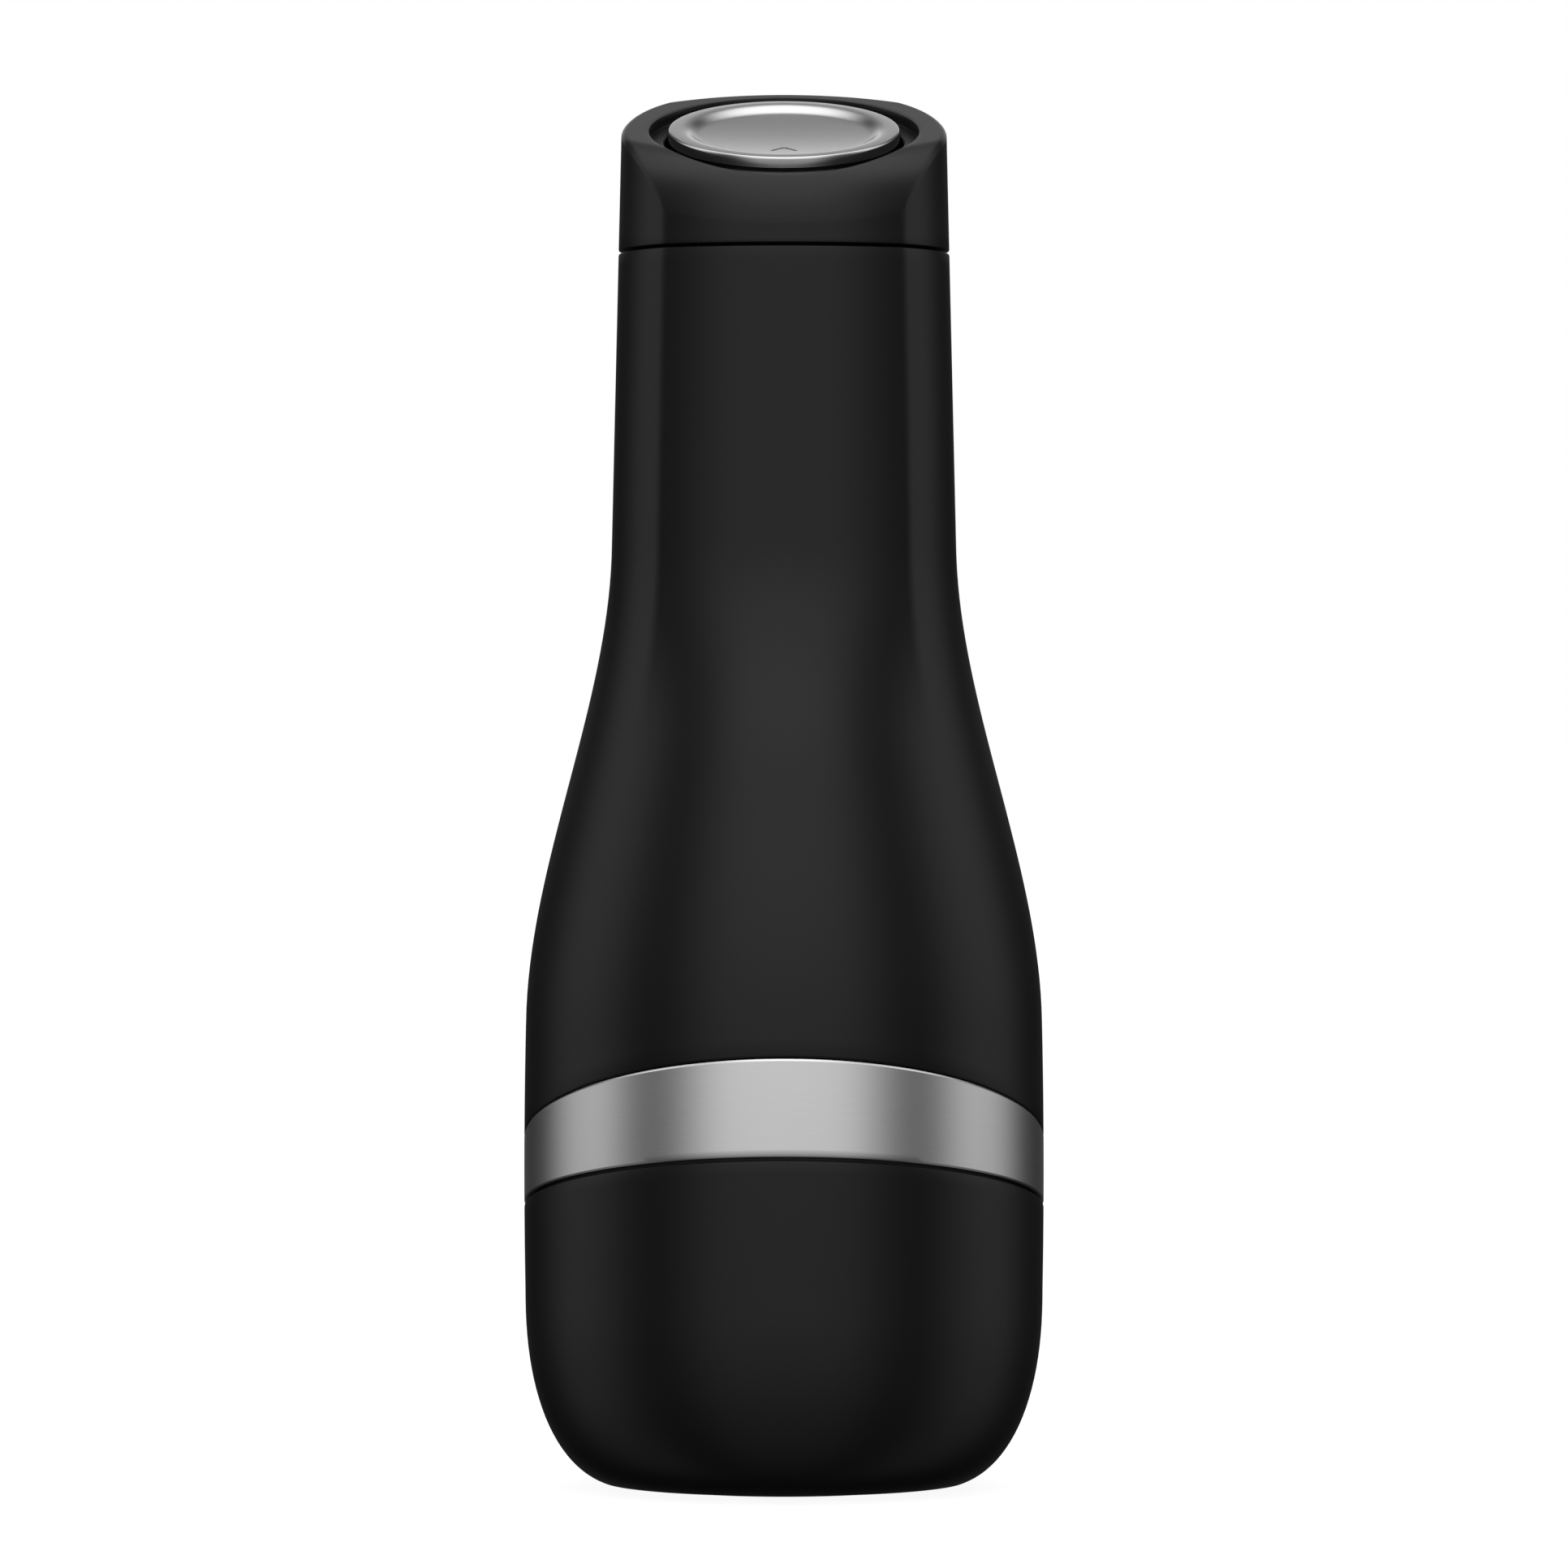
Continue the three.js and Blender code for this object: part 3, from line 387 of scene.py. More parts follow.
shadow_gap = 0.8
underside = 0.9
base_floor = 6.0
recess_top = 3.3
recess_radius = 30.3
rim = band_bottom[0] - shadow_gap
corner_rise = corner_height - underside
corner = [underside + corner_rise * (1.0 - math.cos(math.radians(a))) for a in steps(0.0, 90.0, 26)]
base_profile = [(0, recess_top), (12.0, recess_top), (recess_radius - 0.4, recess_top)]
base_profile += [(recess_radius, recess_top - 0.3), (recess_radius, underside + 0.4)]
base_profile += [(recess_radius + 0.4, underside)]
base_profile += wall_line(0.0, corner) + wall_line(0.0, steps(corner_height, rim - 0.5, 8)[1:])
base_profile += wall_line(0.1, [rim - 0.18]) + wall_line(0.32, [rim])
base_profile += wall_line(shell_wall - edge_break, [rim]) + wall_line(shell_wall, [rim - edge_break])
base_profile += wall_line(shell_wall, steps(rim - 4.0, 9.0, 18))
base_profile += [(silhouette(base_floor) - shell_wall - 1.5, base_floor), (20.0, base_floor), (0, base_floor)]
base_cup = turned("base_cup_moulding", base_profile)
shaped(base_cup, lambda x, y, z: slanted(x, y, z, band_bottom[1], ease(z, 20.0, rim - 3.0)))
smooth(base_cup)
fitted(base_cup, "base", "black_shell", satin_black, "base_cup")


# Body shell. One tall black moulding, round at the belly and flattened front and back into two broad
# panels up the neck. Each panel is bounded by two soft creases that fade out on the shoulder.
crease_angle = math.radians(46.0)
panel_bulge = 1.452
panel_fade = 48.0
panel_depth = math.cos(crease_angle) + panel_bulge - math.sqrt(panel_bulge**2 - math.sin(crease_angle) ** 2)


def panel_share(x, y):
    """Share of the round radius that is left in a direction."""
    angle = math.atan2(abs(x), abs(y))
    if angle >= crease_angle:
        return 1.0
    centre = panel_bulge - panel_depth
    return math.sqrt(panel_bulge**2 - (centre * math.sin(angle)) ** 2) - centre * math.cos(angle)


def flattened(x, y, z):
    strength = ease(z, shoulder_top - panel_fade, shoulder_top)
    share = 1.0 - strength * (1.0 - panel_share(x, y))
    return x * share, y * share, z


body_rim = band_top[0] + fit_gap
body_top = split_height - fit_gap
body_profile = wall_line(shell_wall - edge_break, [body_rim]) + wall_line(edge_break, [body_rim])
body_profile += wall_line(0.08, [body_rim + 0.15]) + wall_line(0.0, [body_rim + 0.4])
body_profile += wall_line(0.0, steps(body_rim + 4.0, body_top - 3.0, 62))
body_profile += wall_line(0.0, [body_top - 0.45]) + wall_line(0.08, [body_top - 0.16])
body_profile += wall_line(edge_break, [body_top]) + wall_line(shell_wall - edge_break, [body_top])
body_profile += wall_line(shell_wall, [body_top - edge_break])
body_profile += wall_line(shell_wall, steps(body_top - 5.0, body_rim + 4.0, 30))
body_profile += wall_line(shell_wall, [body_rim + edge_break]) + [body_profile[0]]
body_shell = turned("body_moulding", body_profile)
shaped(body_shell, lambda x, y, z: slanted(x, y, z, band_top[1], 1.0 - ease(z, body_rim + 1.0, 150.0)))
shaped(body_shell, flattened)
smooth(body_shell)
fitted(body_shell, "housing", "black_shell", satin_black, "body_shell")


# Steel band. A thin rolled and brushed sleeve between two slanted planes, with a bright cut edge,
# slid over the coupling ring's raised land before the shell is pressed home.
brush_group = bpy.data.node_groups.new("brush_lines", "ShaderNodeTree")
socket(brush_group, "Vector", "INPUT", "NodeSocketVector")
socket(brush_group, "Dark", "INPUT", "NodeSocketColor", (0.55, 0.55, 0.54, 1.0))
socket(brush_group, "Light", "INPUT", "NodeSocketColor", (0.64, 0.64, 0.63, 1.0))
socket(brush_group, "Line Depth", "INPUT", "NodeSocketFloat", 0.1)
socket(brush_group, "Gloss Low", "INPUT", "NodeSocketFloat", 0.26)
socket(brush_group, "Gloss High", "INPUT", "NodeSocketFloat", 0.36)
socket(brush_group, "Color", "OUTPUT", "NodeSocketColor")
socket(brush_group, "Roughness", "OUTPUT", "NodeSocketFloat")
socket(brush_group, "Normal", "OUTPUT", "NodeSocketVector")
tree = brush_group.nodes
links = brush_group.links
group_in = tree.new("NodeGroupInput")
group_out = tree.new("NodeGroupOutput")
lines = tree.new("ShaderNodeTexNoise")
lines.inputs["Scale"].default_value = 1.0
lines.inputs["Detail"].default_value = 5.0
lines.inputs["Roughness"].default_value = 0.65
links.new(group_in.outputs["Vector"], lines.inputs["Vector"])
tone = tree.new("ShaderNodeMix")
tone.data_type = "RGBA"
links.new(lines.outputs["Fac"], tone.inputs[0])
links.new(group_in.outputs["Dark"], tone.inputs[6])
links.new(group_in.outputs["Light"], tone.inputs[7])
gloss = tree.new("ShaderNodeMapRange")
links.new(lines.outputs["Fac"], gloss.inputs["Value"])
links.new(group_in.outputs["Gloss Low"], gloss.inputs["To Min"])
links.new(group_in.outputs["Gloss High"], gloss.inputs["To Max"])
bump = tree.new("ShaderNodeBump")
bump.inputs["Distance"].default_value = 0.00004
links.new(group_in.outputs["Line Depth"], bump.inputs["Strength"])
links.new(lines.outputs["Fac"], bump.inputs["Height"])
links.new(tone.outputs[2], group_out.inputs["Color"])
links.new(gloss.outputs["Result"], group_out.inputs["Roughness"])
links.new(bump.outputs["Normal"], group_out.inputs["Normal"])


def turned_lines(tree, links, across, along, centre=(0.0, 0.0, 0.0), tilt=0.0):
    """Coordinates for lines that run round an axis: radius and height stretched, angle squeezed."""
    place = tree.new("ShaderNodeTexCoord")
    turn = tree.new("ShaderNodeMapping")
    turn.vector_type = "TEXTURE"
    turn.inputs["Location"].default_value = centre
    turn.inputs["Rotation"].default_value = (tilt, 0.0, 0.0)
    split = tree.new("ShaderNodeSeparateXYZ")
    flat = tree.new("ShaderNodeCombineXYZ")
    radius = tree.new("ShaderNodeVectorMath")
    radius.operation = "LENGTH"
    unit = tree.new("ShaderNodeVectorMath")
    unit.operation = "NORMALIZE"
    unit_split = tree.new("ShaderNodeSeparateXYZ")
    height = tree.new("ShaderNodeMath")
    height.operation = "ADD"
    stretch = tree.new("ShaderNodeCombineXYZ")
    scale = tree.new("ShaderNodeVectorMath")
    scale.operation = "MULTIPLY"
    scale.inputs[1].default_value = (along, along, across)
    links.new(place.outputs["Object"], turn.inputs["Vector"])
    links.new(turn.outputs["Vector"], split.inputs["Vector"])
    links.new(split.outputs["X"], flat.inputs["X"])
    links.new(split.outputs["Y"], flat.inputs["Y"])
    links.new(flat.outputs["Vector"], radius.inputs[0])
    links.new(flat.outputs["Vector"], unit.inputs[0])
    links.new(unit.outputs["Vector"], unit_split.inputs["Vector"])
    links.new(split.outputs["Z"], height.inputs[0])
    links.new(radius.outputs["Value"], height.inputs[1])
    links.new(unit_split.outputs["X"], stretch.inputs["X"])
    links.new(unit_split.outputs["Y"], stretch.inputs["Y"])
    links.new(height.outputs[0], stretch.inputs["Z"])
    links.new(stretch.outputs["Vector"], scale.inputs[0])
    return scale.outputs["Vector"]


def turned_metal(name, dark, light, gloss_range, line_depth, across, along, centre=(0.0, 0.0, 0.0), tilt=0.0):
    """A brushed or lathe-turned metal whose lines run round an axis."""
    material, tree, links = node_material(name)
    output = tree.new("ShaderNodeOutputMaterial")
    metal = tree.new("ShaderNodeBsdfPrincipled")
    metal.inputs["Metallic"].default_value = 1.0
    brush = tree.new("ShaderNodeGroup")
    brush.node_tree = brush_group
    brush.inputs["Dark"].default_value = (*dark, 1.0)
    brush.inputs["Light"].default_value = (*light, 1.0)
    brush.inputs["Gloss Low"].default_value = gloss_range[0]
    brush.inputs["Gloss High"].default_value = gloss_range[1]
    brush.inputs["Line Depth"].default_value = line_depth
    links.new(turned_lines(tree, links, across, along, centre, tilt), brush.inputs["Vector"])
    links.new(brush.outputs["Color"], metal.inputs["Base Color"])
    links.new(brush.outputs["Roughness"], metal.inputs["Roughness"])
    links.new(brush.outputs["Normal"], metal.inputs["Normal"])
    links.new(metal.outputs["BSDF"], output.inputs["Surface"])
    return material


band_steel = turned_metal(
    "band_steel", (0.66, 0.66, 0.66), (0.78, 0.78, 0.78), (0.25, 0.33), 0.12, 9000.0, 6.0,
)
band_wall = 1.3
back_break = 0.2
band_low = band_bottom[0]
band_high = band_top[0]
band_profile = wall_line(band_wall - back_break, [band_low]) + wall_line(0.25, [band_low])
band_profile += wall_line(0.0, [band_low + 0.25]) + wall_line(0.0, steps(band_low + 1.0, band_high - 1.0, 6))
band_profile += wall_line(0.0, [band_high - 0.35]) + wall_line(0.28, [band_high])
band_profile += wall_line(band_wall - back_break, [band_high]) + wall_line(band_wall, [band_high - back_break])
band_profile += wall_line(band_wall, [band_low + back_break]) + [band_profile[0]]


def band_slant(x, y, z):
    share = (z - band_low) / (band_high - band_low)
    rise = math.tan(band_bottom[1]) * (1.0 - share) + math.tan(band_top[1]) * share
    return slanted(x, y, z, math.atan(rise), 1.0)


steel_band = turned("brushed_band", band_profile)
shaped(steel_band, band_slant)
smooth(steel_band)
fitted(steel_band, "housing", "brushed_steel", band_steel, "steel_band")


# Head. A black cap whose slanted top holds the button's round well. The front panel rolls back into the top,
# the sides turn over in a small round, and a bored boss hangs below the well's floor.
top_height = 290.3
top_tilt = math.radians(18.7)
button_proud = 0.5
plane_height = top_height - button_proud
front_roll = 18.0
well_radius = 28.9
ledge_depth = 2.9
throat_radius = 25.6
well_depth = 9.0
head_floor = 11.0
boss_radius = 9.0
boss_bore = 6.8
boss_bottom = head_floor + 1.4
cavity_radius = 28.6
head_bottom = split_height + fit_gap
up = Vector((0.0, -math.sin(top_tilt), math.cos(top_tilt)))
back = Vector((0.0, math.cos(top_tilt), math.sin(top_tilt)))
top_centre = Vector((0.0, 0.0, top_height))
roll_radius = silhouette(head_bottom)
panel_radius = panel_bulge * roll_radius
panel_centre = (panel_bulge - panel_depth) * roll_radius


def top_surface(x, y):
    """Height of the head's top: the slanted plane, rolled down to the front panel."""
    plane = plane_height + y * math.tan(top_tilt)
    roll_y = panel_centre - math.sqrt(panel_radius**2 - x * x) + front_roll
    if y >= roll_y - front_roll * math.sin(top_tilt):
        return plane
    roll_z = plane_height + roll_y * math.tan(top_tilt) - front_roll / math.cos(top_tilt)
    reach = min(front_roll, roll_y - y)
    return roll_z + math.sqrt(front_roll**2 - reach**2)


def shoulder_round(x, y):
    """Radius of the rounded edge between the side wall and the top, by direction."""
    from_front = math.degrees(math.atan2(abs(x), -y))
    if from_front < 46.0:
        return 0.0
    return 0.4 + 0.9 * ease(from_front, 46.0, 80.0) - 0.9 * ease(from_front, 100.0, 135.0)


def well_lip(direction_x, direction_y):
    """Distance from the axis at which the top surface meets the well."""
    low, high = 15.0, 32.0
    for _ in range(30):
        middle = (low + high) / 2
        x, y = direction_x * middle, direction_y * middle
        offset = Vector((x, y, top_surface(x, y))) - top_centre
        if math.hypot(offset.x, offset.dot(back)) < well_radius:
            low = middle
        else:
            high = middle
    return (low + high) / 2


def on_slant(across, along, depth):
    """A point in the button's slanted frame, in millimetres from the centre of the top plane."""
    return top_centre + Vector((across, 0.0, 0.0)) + back * along - up * depth


WALL_RINGS = 8
TOP_RINGS = 20
lip_soft = 0.2
# Rings are numbered from the outer bottom edge, over the top, down the stepped well, and back under.
under_rings = [
    (well_radius, ledge_depth - 0.15), (well_radius - 0.2, ledge_depth), (27.2, ledge_depth),
    (throat_radius + edge_break, ledge_depth), (throat_radius, ledge_depth + edge_break), (throat_radius, 6.0),
    (throat_radius, well_depth - edge_break), (throat_radius - edge_break, well_depth), (10.0, well_depth),
    (boss_bore, well_depth), (boss_bore, boss_bottom), (boss_radius, boss_bottom), (boss_radius, head_floor),
    (20.0, head_floor),
]
ring_count = 2 + WALL_RINGS + TOP_RINGS + 2 + len(under_rings) + 5
head_shell = turned("head_moulding", [(30.0, float(k)) for k in range(ring_count)])


def head_point(x, y, ring):
    angle = math.atan2(y, x)
    dx, dy = math.cos(angle), math.sin(angle)
    share = panel_share(dx, dy)
    ring = round(ring)
    if ring == 0:
        radius = silhouette(head_bottom) * share - edge_break
        return radius * dx, radius * dy, head_bottom
    if ring == 1:
        radius = silhouette(head_bottom) * share - 0.08
        return radius * dx, radius * dy, head_bottom + 0.14
    rounding = shoulder_round(dx, dy)
    wall_top = top_height - 10.0
    for _ in range(4):
        edge = silhouette(wall_top) * share
        wall_top = top_surface(edge * dx, edge * dy) - rounding
    edge = silhouette(wall_top) * share
    if ring < 2 + WALL_RINGS:
        z = head_bottom + 0.4 + (wall_top - head_bottom - 0.4) * (ring - 2) / WALL_RINGS
        radius = silhouette(z) * share
        return radius * dx, radius * dy, z
    lip = well_lip(dx, dy)
    if ring < 2 + WALL_RINGS + TOP_RINGS:
        turn = (ring - 2 - WALL_RINGS) / TOP_RINGS * math.pi / 2
        land = lip + lip_soft
        radius = edge - (edge - land) * (1.0 - math.cos(turn))
        z = top_surface(radius * dx, radius * dy)
        inside = edge - radius
        if inside < rounding:
            z -= rounding - math.sqrt(rounding**2 - (rounding - inside) ** 2)
        return radius * dx, radius * dy, z
    offset = Vector((lip * dx, lip * dy, top_surface(lip * dx, lip * dy))) - top_centre
    slant_angle = math.atan2(offset.dot(back), offset.x)
    lip_depth = -offset.dot(up)
    ca, sa = math.cos(slant_angle), math.sin(slant_angle)
    step = ring - 2 - WALL_RINGS - TOP_RINGS
    if step == 0:
        depth = min(lip_depth + 0.08, ledge_depth - 0.17)
        return on_slant((well_radius + 0.07) * ca, (well_radius + 0.07) * sa, depth)
    if step == 1:
        depth = min(lip_depth + lip_soft, ledge_depth - 0.16)
        return on_slant(well_radius * ca, well_radius * sa, depth)
    step -= 2
    if step < len(under_rings):
        radius, depth = under_rings[step]
        return on_slant(radius * ca, radius * sa, depth)
    step -= len(under_rings)
    cavity_top = top_height + cavity_radius * dy * math.tan(top_tilt) - head_floor / math.cos(top_tilt)
    inner = [(cavity_radius, cavity_top), (cavity_radius, (cavity_top + head_bottom) / 2),
             (cavity_radius, head_bottom + edge_break), (cavity_radius + edge_break, head_bottom),
             ((cavity_radius + silhouette(head_bottom) * share) / 2, head_bottom)]
    radius, z = inner[step]
    return radius * dx, radius * dy, z


shaped(head_shell, head_point)
select_only(head_shell)
bpy.ops.object.mode_set(mode="EDIT")
bpy.ops.mesh.select_mode(type="EDGE")
bpy.ops.mesh.select_all(action="DESELECT")
bpy.ops.mesh.select_non_manifold(extend=False)
bpy.ops.mesh.bridge_edge_loops()
bpy.ops.mesh.select_all(action="SELECT")
bpy.ops.mesh.normals_make_consistent(inside=False)
bpy.ops.object.mode_set(mode="OBJECT")
smooth(head_shell)
fitted(head_shell, "head", "black_shell", satin_black, "head_shell")


# Push button. A spun steel cap: a rounded rim, a slope and a shallow dish with a small cut chevron
# that points to the back, on a plastic carrier.
button_radius = 24.75
button_height = 2.6
rim_inner = 20.5
dish_edge = 18.0
dish_depth = 1.3
dish_lip = 0.08
dish_sag = 0.75


def tilt_place(piece):
    """Moves a piece from the button's own frame, top plane at zero, to its slanted place."""
    piece.data.transform(Matrix.Translation(top_centre * MM) @ Matrix.Rotation(top_tilt, 4, "X"))


def dish_height(radius):
    """Height of the dish's shallow bowl under the top plane."""
    return -dish_depth - dish_lip - dish_sag * (1.0 - (radius / dish_edge) ** 2)


def rounded(radius, height, size, start, end, count):
    """Profile points round a corner, in degrees from the outward direction."""
    points = []
    for angle in steps(math.radians(start), math.radians(end), count):
        points.append((radius + size * math.cos(angle), height + size * math.sin(angle)))
    return points


button_steel = turned_metal(
    "button_steel", (0.64, 0.64, 0.64), (0.74, 0.74, 0.74), (0.20, 0.27), 0.06, 7000.0, 5.0,
    tuple(top_centre * MM), top_tilt,
)
button_profile = [(0, -button_height), (12.0, -button_height), (button_radius - 0.25, -button_height)]
button_profile += [(button_radius, -button_height + 0.25), (button_radius, -1.2)]
button_profile += rounded(button_radius - 0.5, -0.55, 0.5, 0.0, 90.0, 8)
button_profile += [(23.2, -0.02), (22.3, 0.0), (21.6, -0.05), (21.0, -0.17), (rim_inner, -0.36)]
button_profile += [(20.0, -0.62), (19.4, -0.95), (18.9, -1.18), (18.4, -1.32)]
button_profile += [(dish_edge, dish_height(dish_edge))]
button_profile += [(radius, dish_height(radius)) for radius in steps(17.2, 1.2, 16)] + [(0, dish_height(0.0))]
button_cap = turned("button_cap", button_profile, 128)

chevron_offset = 10.6
chevron_half_width = 2.7
chevron_rise = 3.5
chevron_stroke = 0.9
chevron_depth = 0.6
stroke_height = 2.0


def cut(piece, tool):
    """Cuts one mesh with another and removes the tool."""
    boolean = piece.modifiers.new("cut", "BOOLEAN")
    boolean.operation = "DIFFERENCE"
    boolean.solver = "EXACT"
    boolean.object = tool
    select_only(piece)
    bpy.ops.object.modifier_apply(modifier=boolean.name)
    bpy.data.objects.remove(tool)


for side in (-1, 1):
    bpy.ops.object.select_all(action="DESELECT")
    bpy.ops.mesh.primitive_cube_add(size=1.0)
    stroke = bpy.context.object
    stroke.scale = (math.hypot(chevron_half_width, chevron_rise) * MM, chevron_stroke * MM, stroke_height * MM)
    stroke.rotation_euler = (0.0, 0.0, -side * math.atan2(chevron_rise, chevron_half_width))
    cut_middle = dish_height(chevron_offset) - chevron_depth + stroke_height / 2
    stroke.location = (side * chevron_half_width / 2 * MM, -chevron_offset * MM, cut_middle * MM)
    bpy.ops.object.transform_apply(location=True, rotation=True, scale=True)
    cut(button_cap, stroke)
smooth(button_cap, 28.0)
tilt_place(button_cap)
fitted(button_cap, "button", "brushed_steel", button_steel, "button_disc")

# Foot pad. A matt rubber disc pressed into the base's recess, with three grip grooves.
rubber = moulded("rubber", (0.012, 0.012, 0.012), (0.02, 0.02, 0.02), (0.7, 0.85), 0.35, 700.0)
pad_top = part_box("foot_pad")[1][2] / MM
pad_radius = 30.0
grip_grooves = (25.0, 18.0, 11.0)
groove_depth = 0.6
pad_profile = [(0, pad_top), (pad_radius - 0.4, pad_top), (pad_radius, pad_top - 0.4), (pad_radius, 0.5)]
pad_profile += [(pad_radius - 0.5, 0.0)]
for groove in grip_grooves:
    pad_profile += [(groove + 0.9, 0.0), (groove + 0.5, groove_depth)]
    pad_profile += [(groove - 0.5, groove_depth), (groove - 0.9, 0.0)]
pad_profile += [(0, 0.0)]
foot_pad = smooth(turned("foot_pad_rubber", pad_profile, 96))
fitted(foot_pad, "base", "rubber", rubber, "foot_pad")

# Bumper. A flat rubber ring on the base's floor that the bottle comes down on, with rounded edges.
bumper_low, bumper_high = (corner[2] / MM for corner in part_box("bottle_bumper"))
bumper_inner = 26.0
bumper_outer = 36.0
bumper_round = 0.6
bumper_profile = [(bumper_inner + 0.5, bumper_low), (bumper_outer - 0.5, bumper_low)]
bumper_profile += [(bumper_outer, bumper_low + 0.5)]
round_height = bumper_high - bumper_round
bumper_profile += rounded(bumper_outer - bumper_round, round_height, bumper_round, 0.0, 90.0, 5)
bumper_profile += rounded(bumper_inner + bumper_round, round_height, bumper_round, 90.0, 180.0, 5)
bumper_profile += [(bumper_inner, bumper_low + 0.5), (bumper_inner + 0.5, bumper_low)]
bumper = smooth(turned("bumper_ring", bumper_profile, 96))
fitted(bumper, "base", "rubber", rubber, "bottle_bumper")

# Coupling ring. A glass-filled moulding glued into the shell. The base pushes up over its lower end,
# past a rubber O-ring in a groove, and its raised slanted land carries the steel band.
filled_plastic = moulded(
    "filled_plastic", (0.02, 0.02, 0.022), (0.035, 0.035, 0.038), (0.45, 0.6), 0.3, 900.0,
)
ring_bottom = 40.0
ring_top = 104.0
ring_wall = 2.4
ring_inset = shell_wall + fit_gap
slide_gap = 0.2
oring_height = 44.5
oring_tube = 0.65
ring_inner = silhouette(ring_bottom) - ring_inset - ring_wall
groove_radius = silhouette(oring_height) - ring_inset - 2 * oring_tube - slide_gap
slant_start = 47.0
land_low = band_low + 1.5
land_high = band_high - 1.5
land_inset = band_wall + fit_gap
ring_profile = [(ring_inner, ring_bottom + 0.4), (ring_inner + 0.4, ring_bottom)]
ring_profile += wall_line(ring_inset + 0.8, [ring_bottom]) + wall_line(ring_inset, [ring_bottom + 0.8])
ring_profile += wall_line(ring_inset, [oring_height - 0.95]) + [(groove_radius, oring_height - 0.9)]
ring_profile += [(groove_radius, oring_height + 0.9)]
ring_profile += wall_line(ring_inset, [oring_height + 0.95, slant_start])
ring_profile += wall_line(ring_inset, [land_low]) + wall_line(land_inset, [land_low + 0.1])
ring_profile += wall_line(land_inset, steps(land_low + 0.5, land_high - 0.5, 3))
ring_profile += wall_line(land_inset, [land_high - 0.1])
ring_profile += wall_line(ring_inset, [land_high]) + wall_line(ring_inset, steps(76.0, ring_top - 0.8, 8))
ring_profile += wall_line(ring_inset + 0.8, [ring_top])
ring_profile += [(ring_inner + 0.4, ring_top), (ring_inner, ring_top - 0.4)]
ring_profile += [(ring_inner, z) for z in steps(ring_top - 4.0, ring_bottom + 4.0, 12)] + [ring_profile[0]]


def land_slant(x, y, z):
    """Tilts the ring's outer land with the band, and leaves its two ends and its bore level."""
    if math.hypot(x, y) < groove_radius + 0.3:
        return x, y, z
    share = min(1.0, max(0.0, (z - land_low) / (land_high - land_low)))
    slope = math.tan(band_bottom[1]) * (1.0 - share) + math.tan(band_top[1]) * share
    near = ease(z, slant_start, land_low) * (1.0 - ease(z, land_high, ring_top - 4.0))
    return slanted(x, y, z, math.atan(slope), near)


coupling_ring = turned("coupling_moulding", ring_profile)
shaped(coupling_ring, land_slant)
smooth(coupling_ring)
fitted(coupling_ring, "housing", "dark_plastic", filled_plastic, "coupling_ring")
seal_radius = silhouette(oring_height) - shell_wall - slide_gap - oring_tube
seal_profile = rounded(seal_radius, oring_height, oring_tube, 0.0, 360.0, 16)
seal_profile[-1] = seal_profile[0]
spigot_seal = smooth(turned("spigot_seal", seal_profile, 120))
fitted(spigot_seal, "housing", "rubber", rubber, "spigot_oring")


# Pressure bottle. A deep-drawn aluminium vessel with a necked-in shoulder, a support flange and a
# screw neck that takes the head's collar.
def helix_bar(name, radius, size, bottom, rise, turns, corners, steps_per_turn):
    """A bar wound round Z: a small polygon extruded and turned step by step. Size is (across, high)."""
    bpy.ops.object.select_all(action="DESELECT")
    bpy.ops.mesh.primitive_circle_add(
        vertices=corners, radius=MM, fill_type="NGON", location=(radius * MM, 0.0, bottom * MM),
        rotation=(math.pi / 2, 0.0, 0.0),
    )
    bar = bpy.context.object
    bar.name = name
    bar.data.name = name
    bar.scale = (size[0], size[1], 1.0)
    bpy.ops.object.transform_apply(location=True, rotation=True, scale=True)
    bpy.ops.object.mode_set(mode="EDIT")
    bpy.ops.mesh.select_all(action="SELECT")
    count = round(turns * steps_per_turn)
    step_angle = -2 * math.pi * turns / count
    for _ in range(count):
        bpy.ops.mesh.extrude_region_move(TRANSFORM_OT_translate={"value": (0.0, 0.0, rise / count * MM)})
        bpy.ops.transform.rotate(value=step_angle, orient_axis="Z", center_override=(0.0, 0.0, 0.0))
    bpy.ops.mesh.select_all(action="SELECT")
    bpy.ops.mesh.normals_make_consistent(inside=False)
    bpy.ops.object.mode_set(mode="OBJECT")
    return bar


def join(piece, other):
    select_only(piece)
    other.select_set(True)
    bpy.ops.object.join()


drawn_aluminium = turned_metal(
    "drawn_aluminium", (0.5, 0.51, 0.52), (0.58, 0.59, 0.6), (0.32, 0.44), 0.1, 2500.0, 4.0,
)
bottle_wall = 1.6
bottle_corner = 14.0
bottle_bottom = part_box("pressure_bottle")[0][2] / MM
mouth_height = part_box("pressure_bottle")[1][2] / MM
bottle_radius = ring_inner - 0.8
neck_outer = 22.5
neck_inner = 19.6
flange_radius = 27.0
flange_bottom = split_height - 57.6
flange_top = flange_bottom + 2.5
flange_round = 0.5
bottle_shoulder = (112.0, 195.0)
thread_rise = 7.5
thread_turns = 1.5
thread_half_height = 0.75


def bottle_side(wall, heights):
    profile = []
    for z in heights:
        share = 1.0 - ease(z, *bottle_shoulder)
        profile.append((neck_outer + (bottle_radius - neck_outer) * share - wall, z))
    return profile


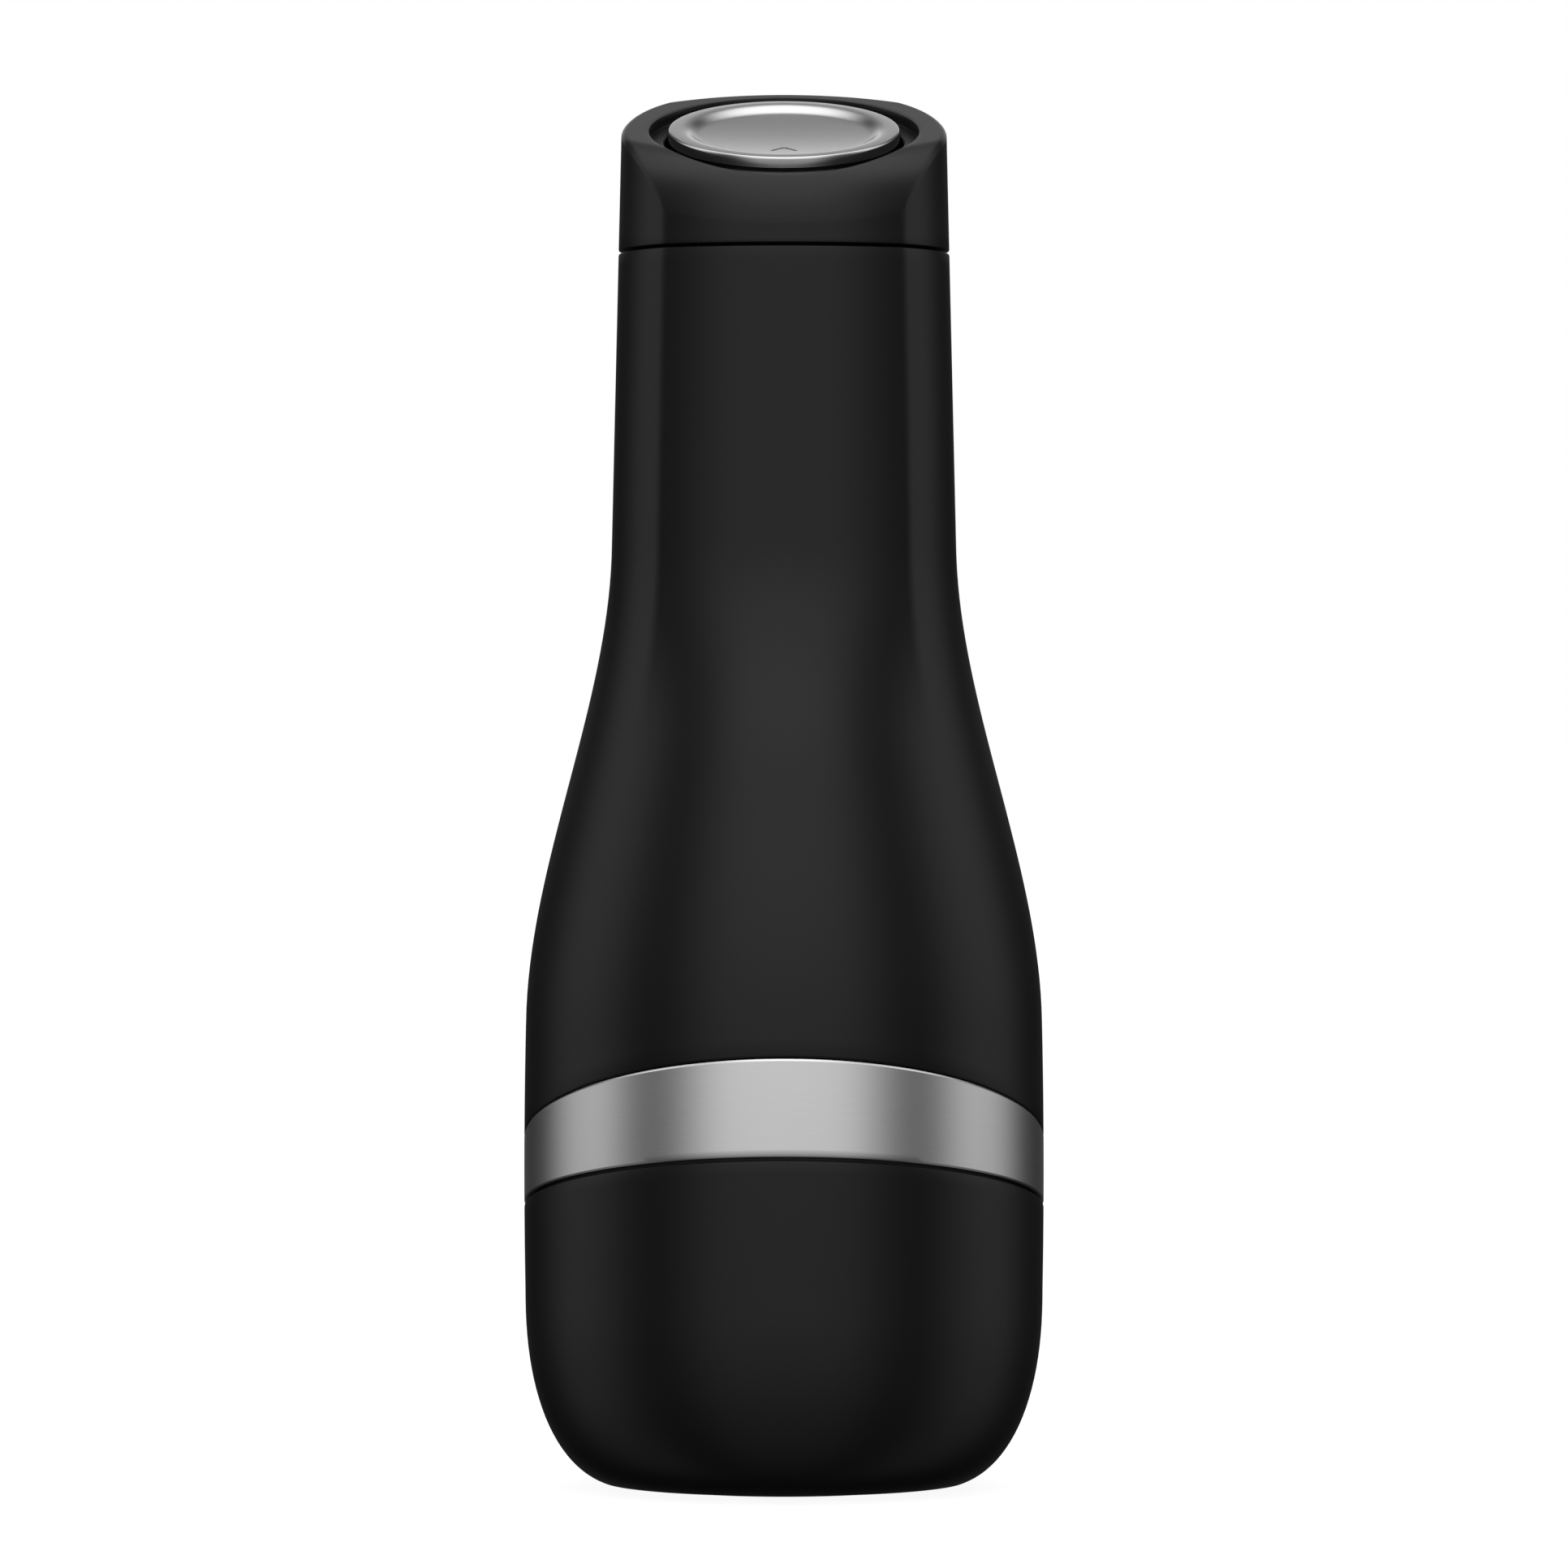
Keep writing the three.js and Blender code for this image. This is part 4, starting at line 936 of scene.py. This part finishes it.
corner_centre = bottle_bottom + bottle_corner
bottle_profile = [(0, bottle_bottom), (16.0, bottle_bottom)]
bottle_profile += rounded(bottle_radius - bottle_corner, corner_centre, bottle_corner, -90.0, 0.0, 12)
bottle_profile += bottle_side(0.0, steps(60.0, bottle_shoulder[1], 30))
bottle_profile += rounded(neck_outer + 1.5, flange_bottom - 1.5, 1.5, 180.0, 90.0, 4)
round_centre = flange_radius - flange_round
bottle_profile += rounded(round_centre, flange_bottom + flange_round, flange_round, -90.0, 0.0, 4)
bottle_profile += rounded(round_centre, flange_top - flange_round, flange_round, 0.0, 90.0, 4)
bottle_profile += [(neck_outer, flange_top), (neck_outer, 230.0), (neck_outer, mouth_height - 0.5)]
bottle_profile += [(neck_outer - 0.5, mouth_height), (neck_inner + 0.5, mouth_height)]
bottle_profile += [(neck_inner, mouth_height - 0.5), (neck_inner, 215.0), (neck_inner, bottle_shoulder[1])]
bottle_profile += bottle_side(bottle_wall, steps(189.0, 60.0, 24))
inner_round = bottle_corner - bottle_wall
bottle_profile += rounded(bottle_radius - bottle_corner, corner_centre, inner_round, 0.0, -90.0, 10)
bottle_profile += [(14.0, bottle_bottom + bottle_wall), (0, bottle_bottom + bottle_wall)]
bottle = turned("bottle_body", bottle_profile, 128)
bottle_thread = helix_bar(
    "bottle_thread", neck_outer + 0.1, (1.2, thread_half_height), mouth_height - 10.5, thread_rise,
    thread_turns, 6, 48,
)
join(bottle, bottle_thread)
smooth(bottle)
fitted(bottle, "housing", "aluminium", drawn_aluminium, "pressure_bottle")

# Thread collar. A moulded skirt with an inner thread under a web. Three screws hold its web to the
# head's posts, and the web traps the valve block's flange.
web_bottom, web_top = 260.5, 264.0
skirt_inner, skirt_outer, web_bore = 24.6, 27.6, 15.6
screw_circle = 21.0
screw_hole = (1.5, web_bottom - 1.0, web_top + 1.0)
screw_sink = (3.1, web_bottom - 1.0, web_bottom + 1.9)
skirt_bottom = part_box("thread_collar")[0][2] / MM
collar_profile = [(skirt_inner + 0.4, skirt_bottom), (skirt_outer - 0.6, skirt_bottom)]
collar_profile += [(skirt_outer, skirt_bottom + 0.6)]
collar_profile += [(skirt_outer, web_bottom), (skirt_outer, web_top - 0.6), (skirt_outer - 0.6, web_top)]
collar_profile += [(web_bore + 0.3, web_top), (web_bore, web_top - 0.3), (web_bore, web_bottom + 0.3)]
collar_profile += [(web_bore + 0.3, web_bottom), (skirt_inner - 0.6, web_bottom)]
collar_profile += [(skirt_inner, web_bottom - 0.6)]
collar_profile += [(skirt_inner, skirt_bottom + 0.4), (skirt_inner + 0.4, skirt_bottom)]
collar = turned("collar_moulding", collar_profile, 120)
for angle in (90.0, 210.0, 330.0):
    x = screw_circle * math.cos(math.radians(angle)) * MM
    y = screw_circle * math.sin(math.radians(angle)) * MM
    for radius, bottom, top in (screw_hole, screw_sink):
        middle = (top + bottom) / 2 * MM
        bpy.ops.object.select_all(action="DESELECT")
        bpy.ops.mesh.primitive_cylinder_add(
            vertices=32, radius=radius * MM, depth=(top - bottom) * MM, location=(x, y, middle),
        )
        drill = bpy.context.object
        bpy.ops.object.transform_apply(location=True, rotation=True, scale=True)
        cut(collar, drill)
collar_thread = helix_bar(
    "collar_thread", skirt_inner + 0.3, (1.5, thread_half_height), mouth_height - 12.3, thread_rise,
    thread_turns, 6, 48,
)
join(collar, collar_thread)
smooth(collar)
fitted(collar, "head", "dark_plastic", filled_plastic, "thread_collar")

# Coil springs. Stainless wire, wound in five turns, under the valve pin's collar and on the relief poppet.
machined_steel = turned_metal(
    "machined", (0.58, 0.58, 0.57), (0.68, 0.68, 0.66), (0.2, 0.32), 0.15, 5000.0, 3.0,
)
spring_turns = 5.0


def coil_spring(name, node, radius, wire, sides, steps_per_turn):
    """A coil of round wire round Z, as tall as its CAD node."""
    low, high = (corner[2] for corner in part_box(node))
    length = (high - low) / MM - 2 * wire
    return helix_bar(name, radius, (wire, wire), low / MM + wire, length, spring_turns, sides, steps_per_turn)


valve_coil = coil_spring("valve_coil", "valve_spring", 3.6, 0.4, 10, 32)
smooth(valve_coil, 60.0)
fitted(valve_coil, "valve_group", "machined_steel", machined_steel, "valve_spring")
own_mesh(valve_coil)
relief_coil = coil_spring("relief_coil", "relief_spring", 1.6, 0.3, 8, 24)
relief_low, relief_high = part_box("relief_spring")
relief_x = (relief_low[0] + relief_high[0]) / 2
relief_coil.data.transform(Matrix.Translation((relief_x, 0.0, 0.0)))
smooth(relief_coil, 60.0)
fitted(relief_coil, "valve_group", "machined_steel", machined_steel, "relief_spring")
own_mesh(relief_coil)

# Inner pieces that keep their own shape: the valve block, its pins, seals, clip and screws, the gas
# cartridge in its sleeve, the wand and the button's plastic parts. Each takes the finish of its slot.
finishes = {
    "dark_plastic": filled_plastic,
    "aluminium": drawn_aluminium,
    "drawn_steel": turned_metal(
        "drawn_steel", (0.42, 0.42, 0.41), (0.5, 0.5, 0.49), (0.3, 0.42), 0.1, 2500.0, 4.0,
    ),
    "machined_steel": machined_steel,
    "brass": turned_metal("brass", (0.52, 0.36, 0.14), (0.62, 0.44, 0.19), (0.24, 0.36), 0.12, 5000.0, 3.0),
    "rubber": rubber,
    "silicone": moulded("silicone", (0.3, 0.31, 0.33), (0.36, 0.37, 0.39), (0.45, 0.6), 0.1, 500.0),
    "natural_plastic": moulded("acetal", (0.62, 0.6, 0.54), (0.68, 0.66, 0.6), (0.4, 0.55), 0.12, 900.0),
    "black_shell": satin_black,
    "brushed_steel": band_steel,
}
for subpart in frame["record"]["subparts"]:
    node = nodes[subpart["node"]]
    node.data.materials.clear()
    node.data.materials.append(finishes[subpart["material_slot"]])
